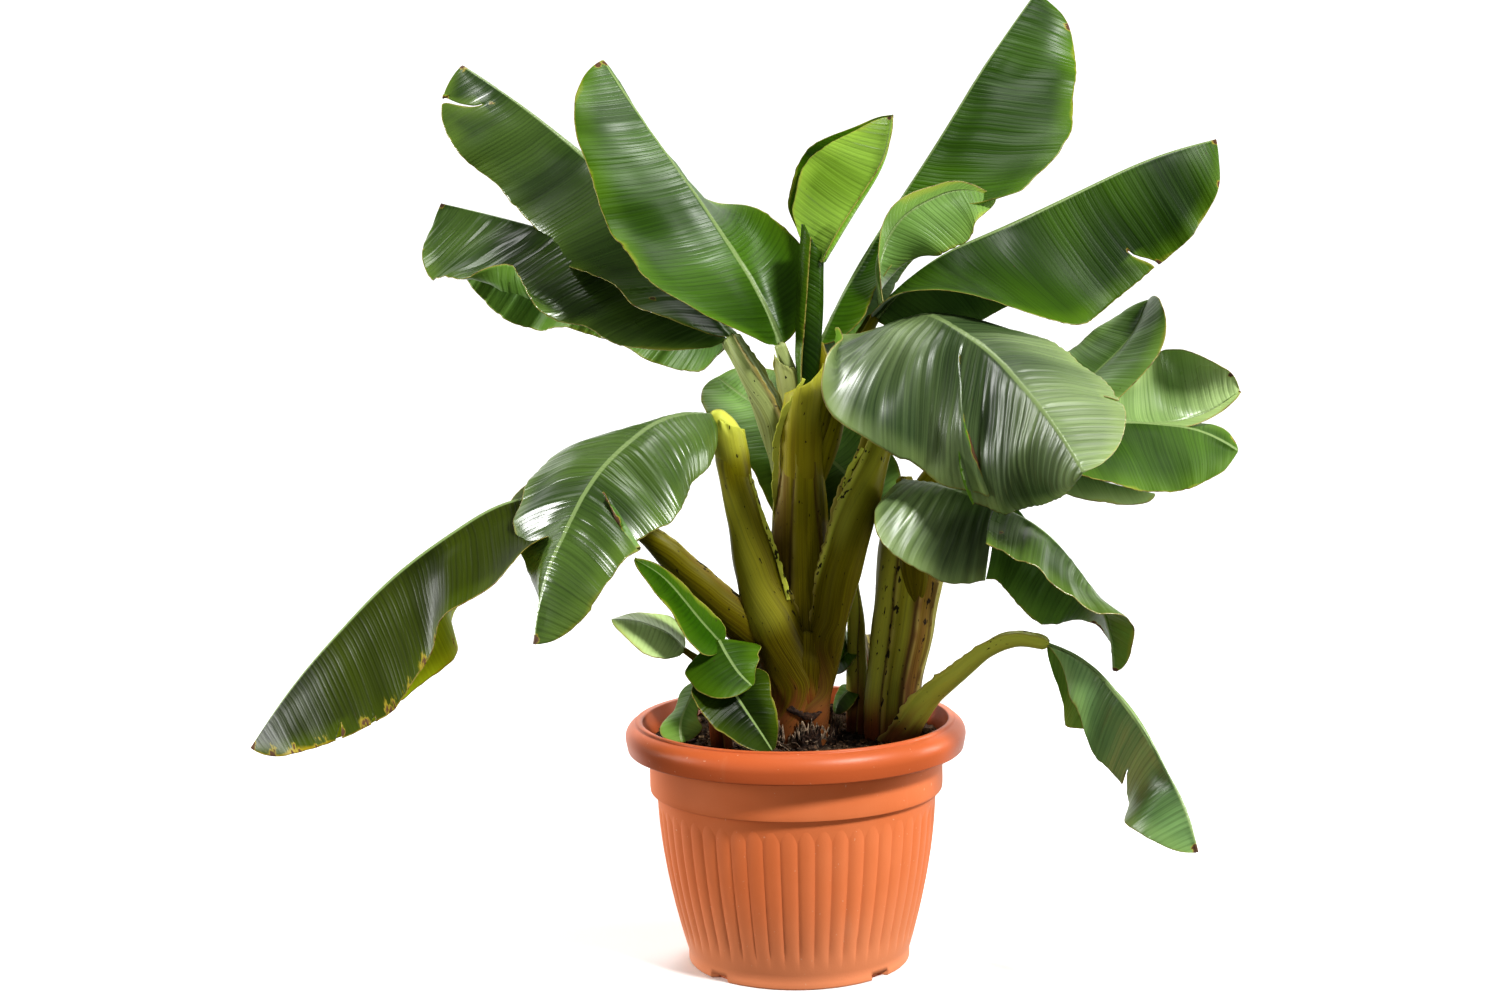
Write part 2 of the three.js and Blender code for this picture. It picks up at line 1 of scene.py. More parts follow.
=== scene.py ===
"""Looks of a potted dwarf banana plant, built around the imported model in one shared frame.

Lengths of the plant are written in millimetres, as in the part's source, and meshes are in metres.
X runs to the right, Y away from the camera and Z up, from the centre of the pot's underside.
"""

import math

import bpy
import numpy as np
from mathutils import Matrix, Vector


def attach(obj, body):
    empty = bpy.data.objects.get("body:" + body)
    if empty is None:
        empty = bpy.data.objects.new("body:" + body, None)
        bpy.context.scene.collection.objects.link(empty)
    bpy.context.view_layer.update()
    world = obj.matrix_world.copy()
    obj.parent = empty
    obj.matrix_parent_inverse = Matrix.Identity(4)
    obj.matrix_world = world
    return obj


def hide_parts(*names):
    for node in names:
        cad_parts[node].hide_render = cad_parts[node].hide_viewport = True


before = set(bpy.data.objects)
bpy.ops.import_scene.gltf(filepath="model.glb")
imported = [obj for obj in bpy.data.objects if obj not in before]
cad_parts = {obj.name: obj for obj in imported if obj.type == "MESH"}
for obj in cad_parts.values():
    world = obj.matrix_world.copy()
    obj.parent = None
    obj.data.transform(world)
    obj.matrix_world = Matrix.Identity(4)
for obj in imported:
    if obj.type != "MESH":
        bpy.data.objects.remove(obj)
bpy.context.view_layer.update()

MM = 0.001
SEED = 7
UP = np.array([0.0, 0.0, 1.0])
TO_VIEWER = np.array([0.0, -1.0, 0.0])

# Pot and soil, as in the part's source
RIM_RADIUS = 200
POT_HEIGHT = 287
FOOT_RADIUS = 131
FOOT_HEIGHT = 12
COLLAR_RADIUS = 172
COLLAR_Z = 205
LIP_Z = 252
BODY_TOP_RADIUS = 164
WALL = 4
MOUTH_RADIUS = 180
FLUTES = 52
FLUTE_DEPTH = 2.2
FLUTE_START_Z = 24
FLUTE_STEPS = np.array([-0.5, -0.46, -0.4, -0.3, -0.16, 0, 0.16, 0.3, 0.4, 0.46])
NOTCH = {"count": 4, "width": 24, "height": 7, "depth": 9}
SOIL_Z = 257
SOIL_BANK = 9                # height by which the soil rises toward the wall
FOOT_Z = SOIL_Z - 5
STEM_FOOT = (7, 0)

# Rules that hold for every leaf, as in the part's source
MIN_HALF_WIDTH = 3
VEIN_SWEEP = 0.35
BLADE = 1.3                  # thickness of a fine blade


# Numbers along a leaf or limb

def ease(f):
    return f * f * (3 - 2 * f)


def smooth(low, high, x):
    return ease(np.clip((x - low) / (high - low), 0, 1))


def bell(x, width):
    return np.exp(-(x / width) ** 2)


def unit(v):
    return v / np.maximum(np.linalg.norm(v, axis=-1, keepdims=True), 1e-9)


def keyed(keys, t):
    """Smooth value between evenly spaced keys, for t from 0 to 1."""
    keys = np.atleast_1d(np.asarray(keys, float))
    t = np.clip(np.asarray(t, float), 0, 1)
    if len(keys) == 1:
        return keys[0] + 0 * t
    x = t * (len(keys) - 1)
    i = np.minimum(x.astype(int), len(keys) - 2)
    f = ease(x - i)
    return keys[i] * (1 - f) + keys[i + 1] * f


def ripple(x, seed):
    """Smooth random wave of x between -1 and 1, about one swing for each step of 1."""
    values = np.random.RandomState(seed).uniform(-1, 1, 512)
    x = np.asarray(x, float)
    i = np.floor(x).astype(int)
    f = ease(x - i)
    return values[i % 512] * (1 - f) + values[(i + 1) % 512] * f


def patches(x, y, seed):
    """Smooth random field over a plane between -1 and 1."""
    values = np.random.RandomState(seed).uniform(-1, 1, (64, 64))
    i, j = np.floor(x).astype(int), np.floor(y).astype(int)
    f, g = ease(x - i), ease(y - j)
    near, far = (values[i % 64, k % 64] * (1 - f) + values[(i + 1) % 64, k % 64] * f for k in (j, j + 1))
    return near * (1 - g) + far * g


# Meshes

def piece(name, points, faces, materials, replaced=(), slot=None, face_material=None, marks=None):
    """A mesh in the row frame from points in millimetres, riding on the plant's one body."""
    mesh = bpy.data.meshes.new(name)
    mesh.from_pydata((np.asarray(points, float) * MM).tolist(), [], faces)
    mesh.validate(clean_customdata=False)
    for material in materials:
        mesh.materials.append(material)
    if face_material is not None:
        mesh.polygons.foreach_set("material_index", np.asarray(face_material, np.int32))
    mesh.polygons.foreach_set("use_smooth", np.ones(len(mesh.polygons), bool))
    for key, values in (marks or {}).items():
        layer = mesh.attributes.new(key, "FLOAT_VECTOR", "POINT")
        layer.data.foreach_set("vector", np.asarray(values, np.float32).ravel())
    mesh.update()
    made = bpy.data.objects.new(name, mesh)
    bpy.context.scene.collection.objects.link(made)
    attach(made, "root")
    if replaced:
        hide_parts(*replaced)
    return made


def grid_faces(rows, columns, closed=False, flip=False, skip=None):
    """Faces of a grid of points, row by row, without the faces of a tear that skip marks."""
    faces = []
    for i in range(rows - 1):
        for j in range(columns if closed else columns - 1):
            if skip is not None and skip[i, j]:
                continue
            k = (j + 1) % columns
            face = (i * columns + j, (i + 1) * columns + j, (i + 1) * columns + k, i * columns + k)
            faces.append(face[::-1] if flip else face)
    return faces


def shell(top, under, faces):
    """Points and faces of a thin sheet with a wall along every open edge, and 1 for each lower face."""
    top, under = top.reshape(-1, 3), under.reshape(-1, 3)
    count = len(top)
    edges = {}
    for face in faces:
        for a, b in zip(face, face[1:] + face[:1]):
            if (b, a) in edges:
                del edges[(b, a)]
            else:
                edges[(a, b)] = True
    below = [tuple(count + k for k in reversed(face)) for face in faces]
    walls = [(b, a, a + count, b + count) for a, b in edges]
    side = [0] * len(faces) + [1] * len(below) + [0] * len(walls)
    return np.vstack([top, under]), faces + below + walls, side


def both(values):
    """Marks for the two faces of a sheet."""
    return np.vstack([values.reshape(-1, 3)] * 2)


def sheet(name, top, under, faces, materials, replaced, slot, **marks):
    """A piece that is one thin sheet. A second material goes on its lower face."""
    points, faces, side = shell(top, under, faces)
    return piece(name, points, faces, materials, replaced, slot, side if len(materials) > 1 else None,
                 {key: both(values) for key, values in marks.items()})


def join(parts):
    """One list of points and one of faces from many."""
    faces, start = [], 0
    for points, shape, *_ in parts:
        faces += [tuple(start + k for k in face) for face in shape]
        start += len(points)
    return np.vstack([part[0] for part in parts]), faces


# Materials

class Graph:
    """The node tree of a material or a world."""

    def __init__(self, owner):
        self.owner = owner
        owner.use_nodes = True
        self.tree = owner.node_tree
        self.tree.nodes.clear()

    def add(self, kind, settings=(), **inputs):
        node = self.tree.nodes.new("ShaderNode" + kind)
        for key, value in dict(settings).items():
            setattr(node, key, value)
        for key, value in inputs.items():
            self.plug(node.inputs[key.replace("_", " ")], value)
        return node

    def plug(self, socket, value):
        if isinstance(value, bpy.types.NodeSocket):
            self.tree.links.new(value, socket)
        elif isinstance(value, tuple) and len(value) == 3 and socket.type == "RGBA":
            socket.default_value = (*value, 1)
        else:
            socket.default_value = value

    def math(self, operation, a, b=0.0, clamp=False):
        node = self.add("Math", {"operation": operation, "use_clamp": clamp})
        self.plug(node.inputs[0], a)
        self.plug(node.inputs[1], b)
        return node.outputs[0]

    def times(self, a, b):
        return self.math("MULTIPLY", a, b)

    def spread(self, value, low, high, to_low=0.0, to_high=1.0):
        """value taken from the range low to high into another range, with soft ends."""
        node = self.add("MapRange", {"interpolation_type": "SMOOTHSTEP"}, Value=value, From_Min=low,
                        From_Max=high, To_Min=to_low, To_Max=to_high)
        return node.outputs[0]

    def mix(self, factor, a, b):
        node = self.add("Mix", {"data_type": "RGBA"})
        for k, value in ((0, factor), (6, a), (7, b)):
            self.plug(node.inputs[k], value)
        return node.outputs[2]

    def coat(self, colour, factor):
        """Lays a colour over the surface, as far as factor says."""
        self.colour = self.mix(factor, self.colour, colour)

    def place(self):
        return self.add("TexCoord").outputs["Object"]

    def noise(self, vector, scale, detail=3.0, rough=0.55):
        node = self.add("TexNoise", Vector=vector, Scale=scale, Detail=detail, Roughness=rough)
        return node.outputs["Fac"]

    def streaks(self, vector, x, y, detail, z=1.0, scale=1.0, rough=0.55):
        """Noise that is finer along x, y or z by these numbers."""
        node = self.add("VectorMath", {"operation": "MULTIPLY"})
        self.plug(node.inputs[0], vector)
        node.inputs[1].default_value = (x, y, z)
        return self.noise(node.outputs[0], scale, detail, rough)

    def marks(self, name):
        """(the vector, its three numbers) that a mesh carries for each point."""
        vector = self.add("Attribute", {"attribute_name": name}).outputs["Vector"]
        return vector, self.add("SeparateXYZ", Vector=vector).outputs

    def bump(self, height, distance, strength, normal=None):
        node = self.add("Bump", Height=height, Distance=distance, Strength=strength)
        if normal is not None:
            self.plug(node.inputs["Normal"], normal)
        return node.outputs["Normal"]

    def finish(self, **inputs):
        shader = self.add("BsdfPrincipled", Base_Color=self.colour, **inputs)
        self.tree.links.new(shader.outputs[0], self.add("OutputMaterial").inputs[0])
        return self.owner


def surface(name):
    return Graph(bpy.data.materials.new(name))


def scaled(colour, share):
    return tuple(share * c for c in colour)


RIB_COLOUR = (0.25, 0.34, 0.13)
MARGIN_LINE = (0.3, 0.26, 0.07)
MARGIN_BITS = (0.13, 0.065, 0.025)
DRY_YELLOW = (0.42, 0.33, 0.03)
DRY_BROWN = (0.11, 0.055, 0.025)
LEAF_SPECKS = (0.05, 0.035, 0.012)
VEIN_GAP = 0.0061            # metres from one side vein to the next
UNDER_IOR = 1.36


def leaf_material(name, deep, light, margin, gloss, ior):
    """Leaf face: even side veins run from the rib to a fine pale margin, with yellow and brown places."""
    g = surface(name)
    place, (vein, _, _) = g.marks("leaf_place")
    _, (edge, rib, dry) = g.marks("leaf_marks")
    broad = g.streaks(place, 13, 6, 0.0)
    bands = g.streaks(place, 75, 2.5, 2.0)
    fine = g.streaks(place, 620, 5, 2.0)
    drift = g.times(g.streaks(place, 20, 6, 1.0), 9.0)
    wave = g.math("SINE", g.math("ADD", g.times(vein, 2 * math.pi / VEIN_GAP), drift))
    furrow = g.spread(wave, -0.2, 1.0)
    # Broad deep and light patches: partly the leaf's own tone, partly painted shade across its folds
    g.colour = g.mix(g.spread(broad, 0.22, 0.72), deep, light)
    # Painted shade: darker pleat valleys, and darker furrows between the veins
    g.coat(scaled(deep, 0.5), g.spread(bands, 0.35, 0.65, 0.25, 0.0))
    g.coat(scaled(deep, 0.45), g.times(furrow, 0.24))
    g.coat(scaled(light, 1.6), g.spread(fine, 0.35, 0.7, 0.0, 0.16))
    # The thin margin is lighter, with a fine pale line that has brown bits
    wander = g.streaks(place, 14, 14, 2.0)
    thin = g.times(g.spread(edge, 0.0, 0.03, 0.75, 0.0), g.spread(wander, 0.3, 0.6, 0.35, 1.0))
    # Painted glow: the lighter thin margin stands in for light shining through it
    g.coat((1.1 * light[0] + 0.03, 1.05 * light[1] + 0.05, light[2]), thin)
    reach = g.times(g.spread(wander, 0.5, 0.75), 0.008)
    yellow = g.math("SUBTRACT", 1.0, g.math("DIVIDE", edge, g.math("ADD", reach, 0.0016)), clamp=True)
    g.coat(margin, g.times(yellow, 0.6))
    bits = g.spread(g.streaks(place, 120, 40, 2.0), 0.52, 0.62)
    g.coat(g.mix(bits, MARGIN_LINE, MARGIN_BITS), g.spread(edge, 0.0004, 0.0013, 0.85, 0.0))
    g.coat(RIB_COLOUR, g.spread(rib, 0.6, 1.1, 0.85, 0.0))
    # Dry places go yellow, then brown
    ragged = g.spread(g.streaks(place, 150, 60, 3.0), 0.3, 0.7, -0.24, 0.24)
    worn = g.math("ADD", dry, ragged, clamp=True)
    g.coat(DRY_YELLOW, g.spread(worn, 0.3, 0.5, 0.0, 0.8))
    g.coat(DRY_BROWN, g.spread(worn, 0.44, 0.56))
    g.coat(LEAF_SPECKS, g.spread(g.streaks(place, 170, 170, 1.0), 0.78, 0.82, 0.0, 0.6))
    satin = g.spread(g.noise(place, 14.0), 0.3, 0.7, gloss, gloss + 0.08)
    rough = g.math("ADD", satin, g.spread(worn, 0.35, 0.6, 0.0, 0.4))
    strength = g.spread(broad, 0.3, 0.7, 0.4, 1.0)
    ridges = g.times(g.math("SUBTRACT", bands, g.times(furrow, 0.16)), strength)
    normal = g.bump(fine, 0.00022, 0.6, g.bump(ridges, 0.002, 0.65))
    return g.finish(Roughness=rough, Normal=normal, IOR=ior)


LIMB_BLUSH = (0.2, 0.075, 0.035)
LIMB_PALE = (0.6, 0.64, 0.1)
LIMB_WING = (0.4, 0.34, 0.09)
LIMB_SEAM = (0.07, 0.032, 0.014)
LIMB_SPECKS = (0.012, 0.008, 0.005)


def limb_material(name, low, high, foot, streak):
    """Stem or stalk: fine streaks along it, dark specks beside its edges, and a reddish foot."""
    g = surface(name)
    place, _ = g.marks("limb_place")
    _, (wing, height, seam) = g.marks("limb_marks")
    _, (blush, pale, spots) = g.marks("limb_tints")
    wide = g.streaks(place, 55, 3, 3.0)
    lines = g.streaks(place, 300, 4, 2.0)
    fine = g.streaks(place, 900, 9, 2.0)
    # Darker low down: partly the limbs' own colour, partly painted shade under the crown
    g.colour = g.mix(g.spread(height, 0.06, 0.36), low, high)
    g.coat(streak, g.spread(wide, 0.45, 0.7, 0.0, 0.5))
    g.coat(scaled(low, 0.5), g.spread(lines, 0.3, 0.5, 0.4, 0.0))
    g.coat(scaled(high, 1.4), g.spread(fine, 0.4, 0.7, 0.0, 0.25))
    g.coat(LIMB_BLUSH, g.times(blush, 0.85))
    g.coat(LIMB_PALE, g.times(pale, 0.9))
    ragged = g.math("ADD", height, g.spread(wide, 0.3, 0.7, -0.02, 0.02))
    g.coat(foot, g.spread(ragged, 0.03, 0.085, 0.85, 0.0))
    g.coat(LIMB_WING, g.times(wing, 0.75))
    g.coat(LIMB_SEAM, g.times(seam, 0.85))
    near = g.math("ADD", g.times(spots, 0.17), g.streaks(place, 230, 90, 2.0, rough=0.6))
    g.coat(LIMB_SPECKS, g.spread(near, 0.69, 0.73, 0.0, 0.95))
    normal = g.bump(lines, 0.0008, 0.6, g.bump(fine, 0.0003, 0.6))
    return g.finish(Roughness=g.spread(wide, 0.3, 0.7, 0.38, 0.5), Normal=normal, IOR=1.22)


def pot_material():
    """Terracotta-coloured plastic: matt body with fine pale specks, and a satin rim."""
    g = surface("pot_plastic")
    place = g.place()
    height = g.add("SeparateXYZ", Vector=place).outputs[2]
    cloud = g.noise(place, 7.0, 4.0)
    rim = g.spread(height, 0.246, 0.256)
    g.colour = g.mix(g.spread(cloud, 0.3, 0.7), (0.66, 0.18, 0.06), (0.71, 0.21, 0.078))
    g.coat((0.58, 0.135, 0.042), rim)
    g.coat((0.66, 0.3, 0.17), g.spread(g.streaks(place, 40, 40, 4.0, z=6), 0.62, 0.78, 0.0, 0.16))
    g.coat((0.8, 0.33, 0.17), g.spread(height, 0.01, 0.13, 0.5, 0.0))
    g.coat((0.74, 0.45, 0.3), g.spread(g.noise(place, 230.0, 1.0), 0.755, 0.79, 0.0, 0.6))
    rough = g.math("SUBTRACT", g.spread(cloud, 0.3, 0.7, 0.5, 0.6), g.times(rim, 0.17))
    return g.finish(Roughness=rough, Normal=g.bump(g.noise(place, 420.0, 2.0), 0.0002, 0.5), IOR=1.42)


def earth_material(name, dark, light, scale):
    g = surface(name)
    place = g.place()
    lumps = g.noise(place, scale, 5.0, 0.7)
    g.colour = g.mix(g.spread(lumps, 0.35, 0.65), dark, light)
    g.coat(scaled(light, 1.8), g.spread(g.streaks(place, 3, 1, 3.0, scale=scale * 2), 0.62, 0.7, 0.0, 0.5))
    return g.finish(Roughness=0.92, Normal=g.bump(lumps, 0.002, 0.9))


def floor_material():
    g = surface("studio_floor")
    g.colour = g.mix(g.noise(g.place(), 2.0), (0.9, 0.9, 0.9), (0.93, 0.93, 0.93))
    return g.finish(Roughness=0.7)


# A leaf's deep and light green, margin, gloss and IOR, then its underside's deep and light green
# Kinds are copies set to their leaves' light, partly own green and partly painted light and shade
LEAF_KINDS = {
    # The young leaf's light green, with painted glow of light shining through it
    "bright": ((0.15, 0.27, 0.02), (0.32, 0.52, 0.075), (0.5, 0.5, 0.08), 0.28, 1.36,
               (0.12, 0.28, 0.01), (0.2, 0.4, 0.03)),
    "young": ((0.014, 0.05, 0.001), (0.03, 0.09, 0.002), (0.4, 0.42, 0.05), 0.4, 1.15,
              (0.08, 0.2, 0.01), (0.13, 0.28, 0.02)),
    "fresh": ((0.076, 0.15, 0.028), (0.185, 0.325, 0.078), (0.4, 0.4, 0.04), 0.3, 1.36,
              (0.08, 0.18, 0.03), (0.14, 0.26, 0.05)),
    "lush": ((0.026, 0.066, 0.004), (0.064, 0.14, 0.012), (0.4, 0.4, 0.04), 0.5, 1.22,
             (0.06, 0.15, 0.02), (0.11, 0.23, 0.03)),
    # Its pale grey-green is partly the leaf's waxy bloom and partly painted sheen
    "waxy": ((0.022, 0.052, 0.01), (0.21, 0.29, 0.115), (0.4, 0.4, 0.06), 0.36, 1.72,
             (0.08, 0.19, 0.01), (0.14, 0.28, 0.03)),
    # A whitish copy: painted sheen and light on its leaves
    "pale": ((0.22, 0.34, 0.11), (0.45, 0.59, 0.26), (0.42, 0.42, 0.06), 0.26, 1.5,
             (0.14, 0.25, 0.04), (0.22, 0.36, 0.07)),
    "sage": ((0.07, 0.15, 0.04), (0.23, 0.39, 0.14), (0.42, 0.42, 0.06), 0.3, 1.5,
             (0.1, 0.22, 0.02), (0.16, 0.3, 0.04)),
    # A darker copy: painted shade on a sucker leaf low under the others
    "deep": ((0.004, 0.01, 0.001), (0.018, 0.036, 0.002), (0.3, 0.3, 0.03), 0.26, 1.2,
             (0.03, 0.08, 0.01), (0.06, 0.14, 0.02)),
    "mid": ((0.02, 0.056, 0.002), (0.062, 0.15, 0.006), (0.34, 0.36, 0.02), 0.34, 1.36,
            (0.06, 0.15, 0.02), (0.11, 0.23, 0.03)),
    "satin": ((0.022, 0.05, 0.008), (0.086, 0.15, 0.028), (0.36, 0.36, 0.04), 0.26, 1.7,
              (0.07, 0.16, 0.02), (0.12, 0.24, 0.04)),
    "dark": ((0.01, 0.03, 0.002), (0.046, 0.108, 0.004), (0.3, 0.3, 0.03), 0.38, 1.28,
             (0.05, 0.12, 0.02), (0.09, 0.18, 0.03)),
    # Its yellow underside is partly yellowing and partly painted glow of light through it
    "old": ((0.006, 0.012, 0.001), (0.04, 0.058, 0.002), (0.7, 0.46, 0.01), 0.39, 1.34,
            (0.35, 0.48, 0.006), (0.6, 0.74, 0.02)),
}
LEAF_SKINS = {}
for kind, (deep, light, margin, gloss, ior, under_deep, under_light) in LEAF_KINDS.items():
    LEAF_SKINS[kind] = [
        leaf_material(f"leaf_{kind}_upper", deep, light, margin, gloss, ior),
        leaf_material(f"leaf_{kind}_under", under_deep, under_light, margin, gloss + 0.12, UNDER_IOR)]

STEM = limb_material("stem_sheath", (0.05, 0.034, 0.001), (0.33, 0.29, 0.01), (0.22, 0.06, 0.02),
                     (0.09, 0.04, 0.003))
STALK = limb_material("stalk_skin", (0.066, 0.046, 0.002), (0.205, 0.185, 0.004), (0.22, 0.075, 0.025),
                      (0.1, 0.07, 0.002))
CROWN_STALK = limb_material("crown_stalk_skin", (0.07, 0.07, 0.01), (0.36, 0.42, 0.16),
                            (0.22, 0.075, 0.025), (0.14, 0.14, 0.02))
DRY = earth_material("dry_sheath", (0.05, 0.032, 0.02), (0.42, 0.31, 0.21), 130.0)
DRY_EDGE = earth_material("dry_edge", (0.012, 0.006, 0.004), (0.06, 0.028, 0.014), 200.0)


# Lines through points

CURVE_STEPS = 400            # points on a curve between two given ones, before it is spaced evenly


def chordal_curve(path, count):
    """Evenly spaced points and unit tangents on the smooth curve through path, as in the part's source."""
    p = np.asarray(path, float)
    p = np.vstack([2 * p[0] - p[1], p, 2 * p[-1] - p[-2]])
    gaps = np.linalg.norm(np.diff(p, axis=0), axis=1)
    dense = []
    for k in range(1, len(p) - 2):
        d0, d1, d2 = gaps[k - 1:k + 2]
        start = ((p[k] - p[k - 1]) / d0 - (p[k + 1] - p[k - 1]) / (d0 + d1) + (p[k + 1] - p[k]) / d1) * d1
        stop = ((p[k + 1] - p[k]) / d1 - (p[k + 2] - p[k]) / (d1 + d2) + (p[k + 2] - p[k + 1]) / d2) * d1
        t = np.linspace(0, 1, CURVE_STEPS, endpoint=k == len(p) - 3)[:, None]
        dense.append((2 * t**3 - 3 * t**2 + 1) * p[k] + (t**3 - 2 * t**2 + t) * start
                     + (3 * t**2 - 2 * t**3) * p[k + 1] + (t**3 - t**2) * stop)
    dense = np.vstack(dense)
    walked = np.r_[0, np.cumsum(np.linalg.norm(np.diff(dense, axis=0), axis=1))]
    at = np.linspace(0, walked[-1], count)
    points = np.stack([np.interp(at, walked, dense[:, k]) for k in range(3)], -1)
    return points, unit(np.gradient(points, axis=0)), walked[-1]


def swept(path, rows, toward):
    """The curve through path, its length, and two directions square to it, the first nearest toward."""
    line, along, length = chordal_curve(path, rows)
    front = unit(toward - (along @ toward)[:, None] * along)
    return line, length, front, np.cross(along, front)


def on_line(line, t):
    """Point at share t of a line of evenly spaced points."""
    x = np.clip(t, 0, 1) * (len(line) - 1)
    i = np.minimum(x.astype(int), len(line) - 2)
    f = (x - i)[..., None]
    return line[i] * (1 - f) + line[i + 1] * f


def ring(angle, front, side):
    """Unit steps away from a line, by the angle from its front toward its side."""
    return np.cos(angle)[..., None] * front + np.sin(angle)[..., None] * side


# Stems and leaf stalks. Angles are in degrees: on a stem from the side toward the viewer, on a stalk
# from its upper side. A tint holds its angle, its width, where it starts and ends, and its amount.

